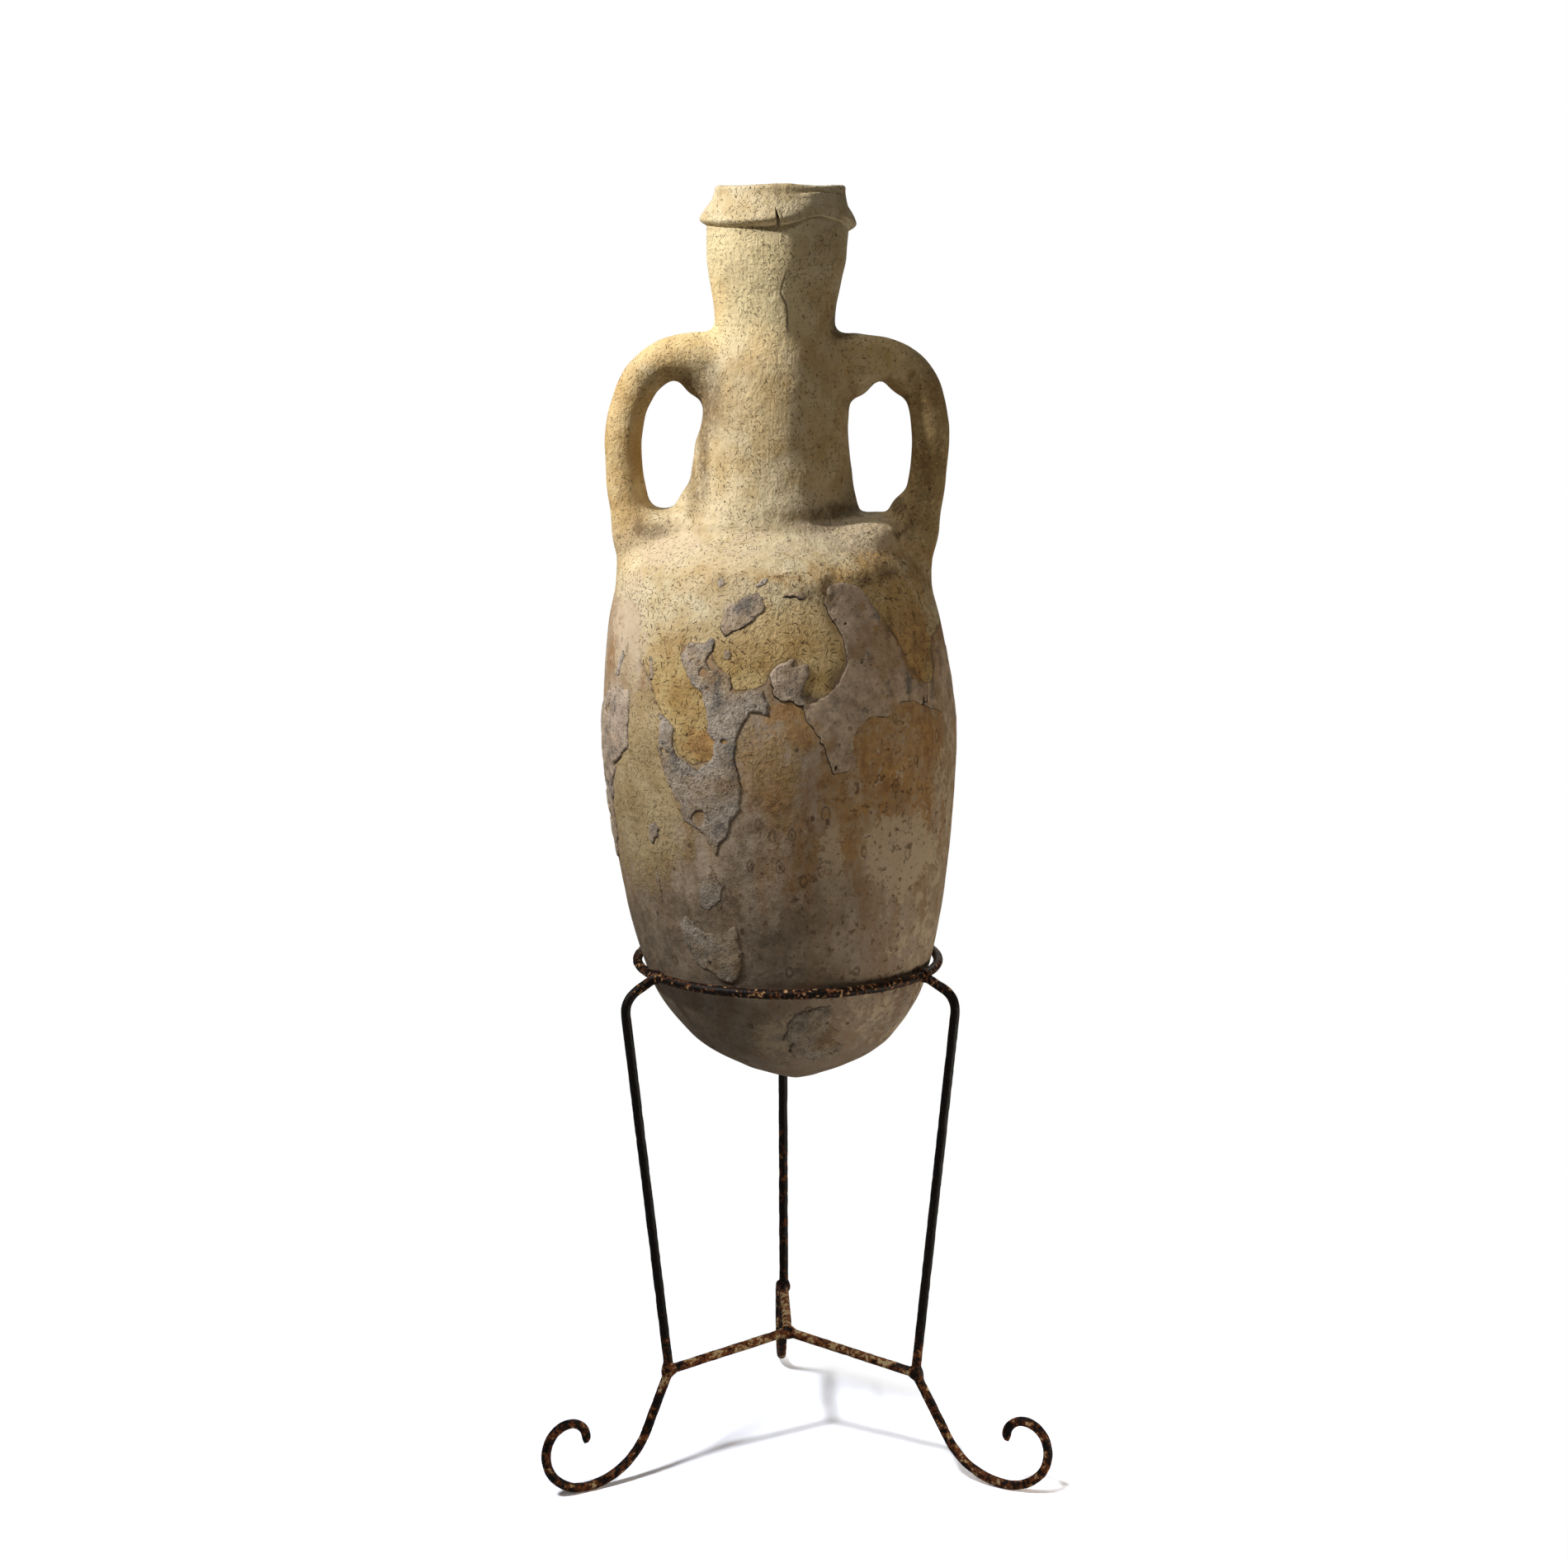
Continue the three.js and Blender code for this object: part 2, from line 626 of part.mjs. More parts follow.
for (const leg of legs) {
  const third = new THREE.Group();
  third.rotation.z = degToRad(leg.bearing);
  third.add(
    pieceOf(`${leg.side}_leg`, makeLeg(leg), finishes.blackIron),
    pieceOf(`${leg.side}_brace`, makeBrace(leg), finishes.blackIron),
    pieceOf(`${leg.side}_ring_weld`, makeRingWeld(leg), finishes.weldIron),
    pieceOf(`${leg.side}_brace_weld`, makeBraceWeld(leg), finishes.weldIron),
  );
  stand.add(third);
}
stand.add(pieceOf('hub_weld', makeHubWeld(legs), finishes.weldIron));

// The whole, moved so that the middle of its outline on the floor is the origin
const assembly = new THREE.Group();
assembly.add(jar, stand);
assembly.updateMatrixWorld(true);
const outline = new THREE.Box3().setFromObject(assembly, true);
const middle = outline.getCenter(new THREE.Vector3());
assembly.position.set(-middle.x, -middle.y, 0);

export default assembly;
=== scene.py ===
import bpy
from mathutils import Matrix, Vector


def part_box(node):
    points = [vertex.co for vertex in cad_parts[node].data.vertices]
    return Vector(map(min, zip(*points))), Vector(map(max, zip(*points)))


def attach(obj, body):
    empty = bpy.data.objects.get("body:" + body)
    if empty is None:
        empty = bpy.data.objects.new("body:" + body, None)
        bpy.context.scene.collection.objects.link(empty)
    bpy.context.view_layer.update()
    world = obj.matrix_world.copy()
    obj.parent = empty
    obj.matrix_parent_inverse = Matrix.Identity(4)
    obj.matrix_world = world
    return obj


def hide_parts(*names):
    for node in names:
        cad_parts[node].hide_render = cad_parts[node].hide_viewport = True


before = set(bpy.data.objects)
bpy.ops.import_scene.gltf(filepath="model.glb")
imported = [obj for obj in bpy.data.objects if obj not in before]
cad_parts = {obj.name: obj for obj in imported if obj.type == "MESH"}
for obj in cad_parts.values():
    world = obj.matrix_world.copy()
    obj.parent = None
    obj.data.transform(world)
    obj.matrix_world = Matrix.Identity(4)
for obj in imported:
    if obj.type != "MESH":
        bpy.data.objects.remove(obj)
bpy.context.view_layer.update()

# %% [markdown]
# # A round-toed clay jar in its iron tripod
#
# The object is hand work twice over. The jar is coiled and scraped clay with two rolled handles,
# so nothing on it is quite round or quite straight. The stand is round bar, bent hot and welded,
# painted black over cream, and rusting through both.
#
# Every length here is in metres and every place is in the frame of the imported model: +Z is up,
# the front is -Y and the handles lie along X.

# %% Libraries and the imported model
import math

import bpy
import numpy as np
from mathutils import Vector

MM = 0.001

# %% [markdown]
# ## Where the jar and the ring are
#
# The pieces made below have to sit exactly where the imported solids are, because those carry the
# collision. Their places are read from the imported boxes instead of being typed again: the ring
# gives the axis, the belly gives the toe.

# %% Axis, toe and levels
ring_low, ring_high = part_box("stand_ring")
belly_low, belly_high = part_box("belly")
AXIS_X = (ring_low.x + ring_high.x) / 2
AXIS_Y = (ring_low.y + ring_high.y) / 2
TOE_Z = belly_low.z
SEAT_Z = belly_high.z
LIP_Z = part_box("neck")[1].z
print(f"axis {AXIS_X:.4f}, {AXIS_Y:.4f}; toe {TOE_Z:.4f}, neck seat {SEAT_Z:.4f}, lip {LIP_Z:.4f}")

# %% [markdown]
# ## The camera
#
# The photograph is taken from about three metres, level with the mouth and tipped down a little.
# The camera is made first, and is used below to lay the crust where the photograph shows it.

# %% Camera
CAMERA_PLACE = Vector((-0.01289, -3.08445, 1.2261))
CAMERA_TIP = math.radians(79.662)
CAMERA_LENS = 72.72
SENSOR_WIDTH = 36.0
PHOTO_SIDE = 1900

camera_data = bpy.data.cameras.new("photo_camera")
camera_data.sensor_width = SENSOR_WIDTH
camera_data.lens = CAMERA_LENS
camera = bpy.data.objects.new("photo_camera", camera_data)
camera.location = CAMERA_PLACE
camera.rotation_euler = (CAMERA_TIP, 0, 0)
bpy.context.scene.collection.objects.link(camera)
bpy.context.scene.camera = camera


def photo_pixels(points):
    """Where points of the object land on the photograph, in its pixels."""
    offset = points - np.array(CAMERA_PLACE)
    sine, cosine = math.sin(CAMERA_TIP), math.cos(CAMERA_TIP)
    depth = offset[:, 1] * sine - offset[:, 2] * cosine
    rise = offset[:, 1] * cosine + offset[:, 2] * sine
    scale = CAMERA_LENS / SENSOR_WIDTH * PHOTO_SIDE / depth
    return np.stack([PHOTO_SIDE / 2 + offset[:, 0] * scale, PHOTO_SIDE / 2 - rise * scale], 1)


ring_front = np.array([[AXIS_X, ring_low.y, ring_high.z]])
print("front of the ring lands at pixel", photo_pixels(ring_front).round(1).tolist())

# %% [markdown]
# ## Shader maths as plain sums
#
# A material is a tree of nodes, and most of them are small sums. Wrapping a socket in a class
# with its own +, - and * lets the sums be read as sums. One more method makes any other node: its
# settings go in first, because they decide which sockets it has, then its values and links.


# %% A socket that can be added and multiplied
class Wire:
    """An output socket. Sums with numbers or other wires add Math nodes to its tree."""

    def __init__(self, tree, socket):
        self.tree = tree
        self.socket = socket

    def sum(self, operation, first, second):
        return self.tree.node("ShaderNodeMath", {"operation": operation}, {0: first, 1: second})

    def __add__(self, other):
        return self.sum("ADD", self, other)

    def __radd__(self, other):
        return self.sum("ADD", other, self)

    def __sub__(self, other):
        return self.sum("SUBTRACT", self, other)

    def __rsub__(self, other):
        return self.sum("SUBTRACT", other, self)

    def __mul__(self, other):
        return self.sum("MULTIPLY", self, other)

    def __rmul__(self, other):
        return self.sum("MULTIPLY", other, self)

    def least(self, other):
        return self.sum("MINIMUM", self, other)

    def most(self, other):
        return self.sum("MAXIMUM", self, other)

    def out(self, name):
        """Another output of the same node."""
        return Wire(self.tree, self.socket.node.outputs[name])


print("sockets can be added:", hasattr(Wire, "__add__"))


# %% A tree with one way to add a node
def screen_colour(red, green, blue):
    """A colour as it reads on a screen, from 0 to 255, in the linear values that nodes take."""
    shares = [value / 255 for value in (red, green, blue)]
    linear = [s / 12.92 if s <= 0.04045 else ((s + 0.055) / 1.055) ** 2.4 for s in shares]
    return (*linear, 1.0)


class Tree:
    """A node tree, with short names for the few nodes that every finish uses."""

    def __init__(self, tree):
        self.tree = tree

    def node(self, kind, settings=None, values=None):
        made = self.tree.nodes.new(kind)
        for name, setting in (settings or {}).items():
            setattr(made, name, setting)
        for name, value in (values or {}).items():
            if isinstance(value, Wire):
                self.tree.links.new(value.socket, made.inputs[name])
            else:
                made.inputs[name].default_value = value
        shown = [socket for socket in made.outputs if socket.enabled]
        return Wire(self, shown[0]) if shown else None

    def noise(self, place, scale, detail=3.0, roughness=0.55):
        return self.node("ShaderNodeTexNoise", None, {
            "Vector": place, "Scale": scale, "Detail": detail, "Roughness": roughness,
        })

    def ramp(self, value, low, high):
        """0 below low and 1 above high, with soft shoulders. Low may be the larger one."""
        return self.node("ShaderNodeMapRange", {"interpolation_type": "SMOOTHSTEP"}, {
            "Value": value, "From Min": low, "From Max": high,
        })

    def mix(self, mask, low, high):
        """The first colour where the mask is 0, the second where it is 1: wires or screen colours."""
        low, high = (end if isinstance(end, Wire) else screen_colour(*end) for end in (low, high))
        return self.node("ShaderNodeMix", {"data_type": "RGBA"}, {0: mask, 6: low, 7: high})

    def tones(self, value, low, high, first, second):
        """Two colours that run into each other as a value goes from low to high."""
        return self.mix(self.ramp(value, low, high), first, second)

    def vector(self, operation, first, second=None):
        """Vector maths. The second entry is a wire, a vector, a number that scales, or nothing."""
        entries = {0: first}
        if second is not None:
            entries["Scale" if operation == "SCALE" else 1] = second
        return self.node("ShaderNodeVectorMath", {"operation": operation}, entries)

    def painted(self, name):
        """A number painted on the mesh's points, 0 on a mesh that has none."""
        return self.node("ShaderNodeAttribute", {"attribute_name": name}).out("Fac")


print("colour 128 of 255 is", round(screen_colour(128, 128, 128)[0], 3), "to a node")


# %% Start and end of a finish
def new_finish(name, roughness, specular):
    """A material with its tree, its shader and the object's own coordinates."""
    material = bpy.data.materials.new(name)
    material.use_nodes = True
    shader = material.node_tree.nodes["Principled BSDF"]
    shader.inputs["Roughness"].default_value = roughness
    shader.inputs["Specular IOR Level"].default_value = specular
    tree = Tree(material.node_tree)
    return material, tree, shader, tree.node("ShaderNodeTexCoord").out("Object")


def link_finish(tree, shader, colour, height, rough=None):
    """Links a finish's colour, its height in millimetres and, where it varies, its roughness."""
    bump = tree.node("ShaderNodeBump", None, {"Strength": 1.0, "Distance": MM, "Height": height})
    for name, wire in (("Base Color", colour), ("Normal", bump), ("Roughness", rough)):
        if wire:
            tree.tree.links.new(wire.socket, shader.inputs[name])
    print("finish with", len(tree.tree.nodes), "nodes")


# %% [markdown]
# ## The clay
#
# Buff clay, tempered with chopped straw that burnt out in the kiln and left little slots all over
# the surface, each a few millimetres long and lying any way. One straw mark is made for each cell
# of a Voronoi pattern: the cell's random colour gives the straw its direction, laid flat on the
# surface, and the mark is every point near that short line.

# %% Straw marks
STRAW_KINDS = {
    # How many fit in a metre, length and width in mm, the share that is kept, and a shift
    "straw": (135.0, 4.2, 0.8, 0.42, (0.0, 0.0, 0.0)),
    "bits": (230.0, 1.7, 0.85, 0.5, (0.31, 0.17, 0.23)),
    "long": (60.0, 9.0, 0.5, 0.25, (0.13, 0.37, 0.11)),
    "slots": (118.0, 4.2, 1.15, 0.5, (0.07, 0.21, 0.4)),
}


def straw_marks(tree, place, normal, cells, length, width, kept, shift):
    """A mask of short slots."""
    length, width = length * MM, width * MM
    moved = tree.vector("ADD", place, shift)
    cell = tree.node("ShaderNodeTexVoronoi", {"voronoi_dimensions": "3D"}, {
        "Vector": moved, "Scale": cells, "Randomness": 1.0,
    })

    def laid_flat(vector):
        up = tree.vector("SCALE", normal, tree.vector("DOT_PRODUCT", vector, normal).out("Value"))
        return tree.vector("SUBTRACT", vector, up)

    heading = tree.vector("SUBTRACT", cell.out("Color"), (0.5, 0.5, 0.5))
    straight = tree.vector("NORMALIZE", laid_flat(heading))
    near = laid_flat(tree.vector("SUBTRACT", moved, cell.out("Position")))
    reach = tree.vector("DOT_PRODUCT", near, straight).out("Value").most(-length / 2).least(length / 2)
    rest = tree.vector("SUBTRACT", near, tree.vector("SCALE", straight, reach))
    slot = tree.ramp(tree.vector("LENGTH", rest).out("Value"), width / 2, width / 5)
    shade = tree.node("ShaderNodeSeparateColor", None, {0: cell.out("Color")}).out("Blue")
    return slot * tree.ramp(shade, 1.0 - kept, 1.02 - kept)


print("kinds of straw mark:", list(STRAW_KINDS))

# %% [markdown]
# ## The colours of the clay
#
# The neck, handles and shoulder are pale yellow-buff, with painted light making the upper neck paler on its
# left side. The belly turns ochre, then amber on the side away from the light, and grey-brown below, where
# it lay in the ground; that grey-brown is partly painted shade, darker where the light falls off towards
# the toe. The colours are read off the photograph and laid with broad noise, so that one runs into the
# next.

# %% Raw clay, a little more yellow where the belly's skin has fallen off
fired_clay, tree, shader, place = new_finish("fired_clay", 0.88, 0.25)
normal = tree.node("ShaderNodeNewGeometry").out("Normal")
parts = tree.node("ShaderNodeSeparateXYZ", None, {0: place})
across, up = parts, parts.out("Z")

broad = tree.noise(place, 9.0, 3.0)
patchy = tree.noise(place, 34.0, 6.0, 0.62)
ragged = tree.noise(place, 85.0, 6.0, 0.7)
fine = tree.noise(place, 230.0, 4.0, 0.65)

buff = tree.tones(patchy, 0.34, 0.68, (230, 212, 174), (206, 182, 136))
yellow = tree.tones(patchy, 0.34, 0.66, (212, 184, 128), (186, 150, 92))
colour = tree.tones(up + (broad - 0.5) * 0.1, 0.87, 0.81, buff, yellow)
# Painted light: the upper neck is made paler on its left side, which faces the lamp.
painted_light_on_neck = tree.ramp(up, 1.07, 1.12) * tree.ramp(up, 1.22, 1.2) * tree.ramp(across, 0.02, -0.02)
colour = tree.mix(painted_light_on_neck * 0.8, colour, (246, 224, 172))
rosy = tree.ramp(tree.noise(place, 13.0, 4.0, 0.6), 0.5, 0.68)
colour = tree.mix(rosy * 0.3, colour, (216, 176, 122))
print("raw clay:", len(tree.tree.nodes), "nodes")

# %% The smooth skin over the belly
plain = tree.tones(patchy, 0.3, 0.7, (198, 174, 146), (166, 140, 110))
runs = tree.noise(tree.vector("MULTIPLY", place, (1.0, 1.0, 0.22)), 55.0, 5.0, 0.65)
plain = tree.mix(tree.ramp(runs, 0.46, 0.64) * 0.7, plain, (168, 126, 80))
plain = tree.mix(tree.ramp(runs, 0.46, 0.36) * 0.6, plain, (206, 186, 162))
# Greyer and darker towards the bottom: partly the ground's stain, partly painted shade where the light
# falls off towards the toe.
plain = tree.mix(tree.ramp(up, 0.66, 0.5) * 0.5, plain, (176, 160, 144))
skin_edge = tree.painted("skin") + (patchy - 0.5) * 0.5 + (ragged - 0.5) * 0.3
skin = tree.ramp(skin_edge, 0.485, 0.515)
colour = tree.mix(skin, colour, plain)
print("with its skin:", len(tree.tree.nodes), "nodes")

# %% Stains over both, the grey partly painted shade
wander = (patchy - 0.5) * 1.1 + (ragged - 0.5) * 1.2 + (fine - 0.5) * 0.8
amber = tree.ramp(tree.painted("amber") + wander * 0.85, 0.34, 0.72)
grey = tree.ramp(tree.painted("grey") + wander * 0.6, 0.24, 0.8)
pale = tree.ramp(tree.painted("pale") + wander, 0.44, 0.64)
honey = tree.tones(ragged, 0.35, 0.65, (218, 168, 100), (162, 114, 64))
colour = tree.mix(amber * 0.75, colour, honey)
# A darker band along the edge of the skin, above the shoulder.
lip = tree.ramp(skin_edge, 0.42, 0.485) * tree.ramp(skin_edge, 0.6, 0.5)
colour = tree.mix(lip * tree.ramp(up, 0.87, 0.85) * 0.6, colour, (112, 94, 74))
colour = tree.mix(pale * 0.75, colour, (222, 200, 168))
# The grey is partly ash, partly painted shade low down and in the middle of the belly.
ash_and_shade_grey = tree.tones(ragged, 0.35, 0.65, (138, 122, 102), (104, 90, 74))
colour = tree.mix(grey * 0.85, colour, ash_and_shade_grey)
print("with its stains:", len(tree.tree.nodes), "nodes")

# %% Brown spots and rings, mostly on the skin
upright = tree.vector("MULTIPLY", place, (1.0, 1.0, 0.62))
cell = tree.node("ShaderNodeTexVoronoi", None, {"Vector": upright, "Scale": 62.0})
chance = tree.node("ShaderNodeSeparateColor", None, {0: cell.out("Color")})
away = cell.out("Distance") + (fine - 0.5) * 0.2 + (ragged - 0.5) * 0.25
dot = tree.ramp(away, 0.17, 0.09) * tree.ramp(chance, 0.62, 0.66)
ring = tree.ramp(away, 0.3, 0.26) * tree.ramp(away, 0.17, 0.21) * tree.ramp(chance.out("Green"), 0.8, 0.84)
spots = dot.most(ring * 0.7) * tree.ramp(up, 0.87, 0.8)
colour = tree.mix(spots * (skin * 0.62 + 0.1), colour, (84, 62, 44))
colour = tree.mix(tree.ramp(fine, 0.6, 0.74) * 0.3, colour, (120, 92, 58))
blots = tree.ramp(tree.noise(place, 60.0, 6.0, 0.7), 0.66, 0.76)
colour = tree.mix(blots * 0.35, colour, (84, 70, 54))
print("with its spots:", len(tree.tree.nodes), "nodes")

# %% Tawny handles, dirt and painted shade in the corners, and crowded flecks
tawny = tree.tones(patchy, 0.34, 0.66, (242, 206, 140), (214, 174, 110))
colour = tree.mix(tree.ramp(tree.painted("tawny") + wander * 0.3, 0.0, 1.0) * 0.8, colour, tawny)
# Dark brown, partly real dirt and smudges, partly painted shade: in the corners between handles and neck,
# on the right handle, down the middle of the neck and in the mouth strip's crack.
colour = tree.mix(tree.painted("dirt_and_shade") * tree.ramp(fine, 0.25, 0.5) * 0.85, colour, (92, 68, 40))
buff_zone = tree.ramp(tree.painted("buff") + wander, 0.3, 0.8)
tan = tree.tones(patchy, 0.34, 0.66, (206, 182, 136), (182, 155, 108))
colour = tree.mix(buff_zone * skin * 0.85, colour, tan)
flecks = tree.ramp(tree.noise(place, 150.0, 5.0, 0.7), 0.565, 0.62) * tree.painted("specks")
colour = tree.mix(flecks * 0.7, colour, (88, 60, 36))
print("with its dirt:", len(tree.tree.nodes), "nodes")

# %% Straw slots, pits and the gouge on the neck
straw, bits, long, slots = (straw_marks(tree, place, normal, *kind) for kind in STRAW_KINDS.values())
crowd = tree.ramp(tree.noise(place, 22.0, 3.0, 0.6), 0.38, 0.6)
smooth = skin * (1.0 - buff_zone * 0.6)
marks = (straw * (crowd * 0.6 + 0.4)).most(bits * crowd).most(long * 0.8) * (1.0 - smooth * 0.85)
slots = slots * tree.ramp(up, 0.9, 0.84) * (1.0 - smooth * 0.93)
marks = (marks * 0.8).most(slots)
# The slots and pits are coloured darker as well as sunk in the bump: painted shade in these small hollows.
colour = tree.mix(marks * 0.76, colour, (98, 68, 36))
pits = tree.ramp(tree.noise(place, 300.0, 2.0, 0.5), 0.66, 0.72) * (1.0 - smooth * 0.7)
colour = tree.mix(pits * 0.6, colour, (88, 60, 32))

# The gouge is drawn where a painted number passes through zero, which stays sharp between points
beside = tree.painted("beside_gouge") + (fine - 0.5) * 3.0 + (ragged - 0.5) * 4.0
gouge = tree.ramp(beside, -1.5, -0.1) * tree.ramp(beside, 1.1, 0.1) * tree.painted("gouge")
# The gouge is coloured darker as well: painted shade in the groove.
colour = tree.mix(gouge * 0.7, colour, (96, 72, 44))
print("with its marks:", len(tree.tree.nodes), "nodes")

# %% Relief of the clay
grain = tree.noise(place, 900.0, 2.0, 0.6)
dents = tree.noise(place, 75.0, 4.0, 0.55)
wiped = tree.noise(tree.vector("MULTIPLY", place, (1.0, 1.0, 0.07)), 300.0, 3.0, 0.6)
on_neck = tree.ramp(up, 0.9, 0.96) * tree.ramp(up, 1.24, 1.19)
raised = dents * (2.4 - skin * 1.0) + fine * (1.5 - smooth * 0.9) + grain * (0.5 - smooth * 0.3)
raised = raised + skin * 0.9 + wiped * on_neck * 0.8
link_finish(tree, shader, colour, raised - marks * 2.6 - pits * 1.6 - spots * skin * 0.2 - gouge * 1.8)

# %% [markdown]
# ## The lime crust
#
# Grey-mauve crust from the ground still clings to the belly in flakes a millimetre or two thick.
# It is rougher than the clay, crumbly, and darker along its rims. The thin sheets are smoother and browner,
# and some flakes have a crack along their lower side, painted near-black as painted shade in the gap.

# %% Crust finish
crust_finish, tree, shader, place = new_finish("lime_crust", 0.93, 0.2)
broad = tree.noise(place, 14.0, 4.0, 0.6)
patchy = tree.noise(place, 70.0, 6.0, 0.68)
fine = tree.noise(place, 420.0, 4.0, 0.6)
grain = tree.noise(place, 1100.0, 2.0, 0.6)
thin, rim = tree.painted("thin"), tree.painted("rim")
grey = tree.tones(patchy, 0.32, 0.68, (212, 196, 178), (168, 152, 134))
brown = tree.tones(patchy, 0.35, 0.7, (194, 168, 134), (150, 124, 96))
mauve = tree.tones(patchy, 0.35, 0.65, (232, 205, 174), (184, 157, 130))
colour = tree.mix(thin, tree.tones(broad, 0.42, 0.62, grey, brown), mauve)
worn = tree.noise(place, 20.0, 5.0, 0.65)
colour = tree.mix(tree.ramp(worn, 0.5, 0.6) * thin * 0.6, colour, (186, 148, 104))
blue = tree.ramp(tree.noise(place, 36.0, 6.0, 0.7), 0.52, 0.66)
colour = tree.mix(blue * 0.8, colour, (122, 116, 110))
colour = tree.mix(tree.ramp(fine, 0.56, 0.72) * 0.45, colour, (92, 76, 58))
crumbs = tree.ramp(tree.noise(place, 300.0, 4.0, 0.65), 0.58, 0.7)
colour = tree.mix(crumbs * 0.5, colour, (96, 80, 62))
moss = tree.painted("dirt_and_shade") * tree.ramp(fine + patchy, 0.8, 1.1)
colour = tree.mix(moss * 0.85, colour, (98, 84, 62))
# Darker along every rim of the crust.
colour = tree.mix(tree.ramp(rim + (fine - 0.5) * 2.0, 0.9, 0.1) * 0.55, colour, (72, 56, 42))
# Painted shade: a near-black line in the gap along the lower, cracked edge of the thin flakes.
gap = tree.ramp(rim + (fine - 0.5) * 1.4, 1.5, 0.7) * tree.ramp(tree.painted("crack"), 0.25, 0.7)
colour = tree.mix(gap * 0.92, colour, (38, 29, 22))
streaks = tree.noise(tree.vector("MULTIPLY", place, (1.0, 1.0, 0.35)), 190.0, 3.0, 0.6)
raised = patchy * (3.2 - thin * 1.8) + fine * (2.0 - thin * 1.2) + streaks * (0.8 - thin * 0.4)
raised = raised + grain * (0.6 - thin * 0.35) - crumbs * (1.3 - thin * 0.8) - gap * 1.0
link_finish(tree, shader, colour, raised)

# %% [markdown]
# ## Painted iron
#
# Black paint over a cream undercoat over rusting bar. Paint chips where the bar is handled and
# kicked, so the chips are few on the upper legs and many on the braces, the lower legs and the
# scrolls. Each chip shows cream in its middle or rust, with a dark rust rim.

# %% Iron finish
painted_iron, tree, shader, place = new_finish("painted_iron", 0.5, 0.26)
parts = tree.node("ShaderNodeSeparateXYZ", None, {0: place})
back, up = parts.out("Y"), parts.out("Z")
flat = tree.vector("MULTIPLY", tree.vector("SUBTRACT", place, (AXIS_X, AXIS_Y, 0.0)), (1.0, 1.0, 0.0))
braces = tree.ramp(tree.vector("LENGTH", flat).out("Value"), 0.15, 0.11) * tree.ramp(up, 0.15, 0.13)
feet = tree.ramp(up, 0.2, 0.1) * 0.7
rear = tree.ramp(back, AXIS_Y + 0.06, AXIS_Y + 0.1) * tree.ramp(up, 0.36, 0.24) * 0.5
ring = tree.ramp(up, 0.47, 0.496) * 0.55
wear = braces.most(feet).most(rear).most(ring)

small = tree.noise(place, 260.0, 4.0, 0.62)
large = tree.noise(place, 110.0, 5.0, 0.66)
chips = large + (small - large) * (ring * 1.3 + 0.25).least(1.0)
choice = tree.noise(place, 150.0, 4.0, 0.6)
fine = tree.noise(place, 520.0, 4.0, 0.6)
bare = tree.ramp(chips + wear * 0.2, 0.7, 0.72)
rim = tree.ramp(chips + wear * 0.22, 0.625, 0.68)
black = tree.tones(fine, 0.4, 0.7, (17, 14, 12), (42, 31, 24))
rust = tree.tones(fine, 0.35, 0.65, (190, 110, 56), (98, 54, 32))
cream = tree.tones(fine, 0.4, 0.7, (255, 230, 178), (222, 168, 104))
colour = tree.mix(rim * (wear * 0.75 + 0.2), black, rust)
colour = tree.mix(bare, colour, tree.tones(choice, 0.42, 0.49, rust, cream))
rough = bare.most(rim * 0.6) * 0.36 + 0.48
link_finish(tree, shader, colour, fine * 0.22 + chips * 0.5 - bare * 0.25, rough)

# %% [markdown]
# ## Seeded lumps
#
# Hand-built clay is lumpy at every size. Value noise does that: random numbers on a lattice,
# blended smoothly between its points. The seed is fixed, so each run makes the same jar.


# %% Noise on points
LATTICE = 32
lattice_values = np.random.default_rng(20).random((LATTICE, LATTICE, LATTICE)).astype(np.float32)


def lumps(points, size, shift=0.0):
    """Smooth random values from -1 to 1 at the points, with bumps about this size apart."""
    place = points / size + shift
    cell = np.floor(place).astype(int)
    part = (place - cell).astype(np.float32)
    part = part * part * (3 - 2 * part)
    total = np.zeros(len(points), np.float32)
    for corner in range(8):
        step = np.array([corner & 1, corner >> 1 & 1, corner >> 2 & 1])
        x, y, z = ((cell + step) % LATTICE).T
        weight = np.where(step, part, 1 - part).prod(1)
        total += weight * lattice_values[x, y, z]
    return 2 * total - 1


def layered(points, *layers):
    """Lumps of several sizes added up. Each layer gives its height, its size and a shift."""
    return sum(height * lumps(points, size, shift) for height, size, shift in layers)


print("lumps at the toe:", lumps(np.array([[AXIS_X, AXIS_Y, TOE_Z]]), 0.05).round(3).tolist())

# %% [markdown]
# ## The outline of the jar
#
# The jar is a belly and a neck, each nearly round, standing on a line that leans a little. Their
# outlines are given as points of (radius, height) joined by a smooth curve, the same shares as
# in the part's source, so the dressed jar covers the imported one. The clay is kept a hair inside
# it, which leaves room for the crust.


# %% Outlines and lean
BELLY_RADIUS = 172.5 * MM
BELLY_HEIGHT = 552 * MM
NECK_HEIGHT = 315 * MM
CRUST_ROOM = 1.5 * MM
LUTING_ROOM = 0.3 * MM
LEAN = 13 * MM
RING_ON_JAR = (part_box("stand_ring")[0].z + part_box("stand_ring")[1].z) / 2 - TOE_Z


def smooth_curve(points, steps):
    """A curve through points, evenly timed, that leaves each one in line with its neighbours."""
    p = np.array([points[0], *points, points[-1]], float)
    t = np.linspace(0, len(points) - 1, steps)
    i = np.minimum(t.astype(int), len(points) - 2)
    s = (t - i)[:, None]
    a, b, c, d = p[i], p[i + 1], p[i + 2], p[i + 3]
    rise = (c - a) / 2
    fall = (d - b) / 2
    return (2 * b - 2 * c + rise + fall) * s**3 + (3 * c - 3 * b - 2 * rise - fall) * s**2 + rise * s + b


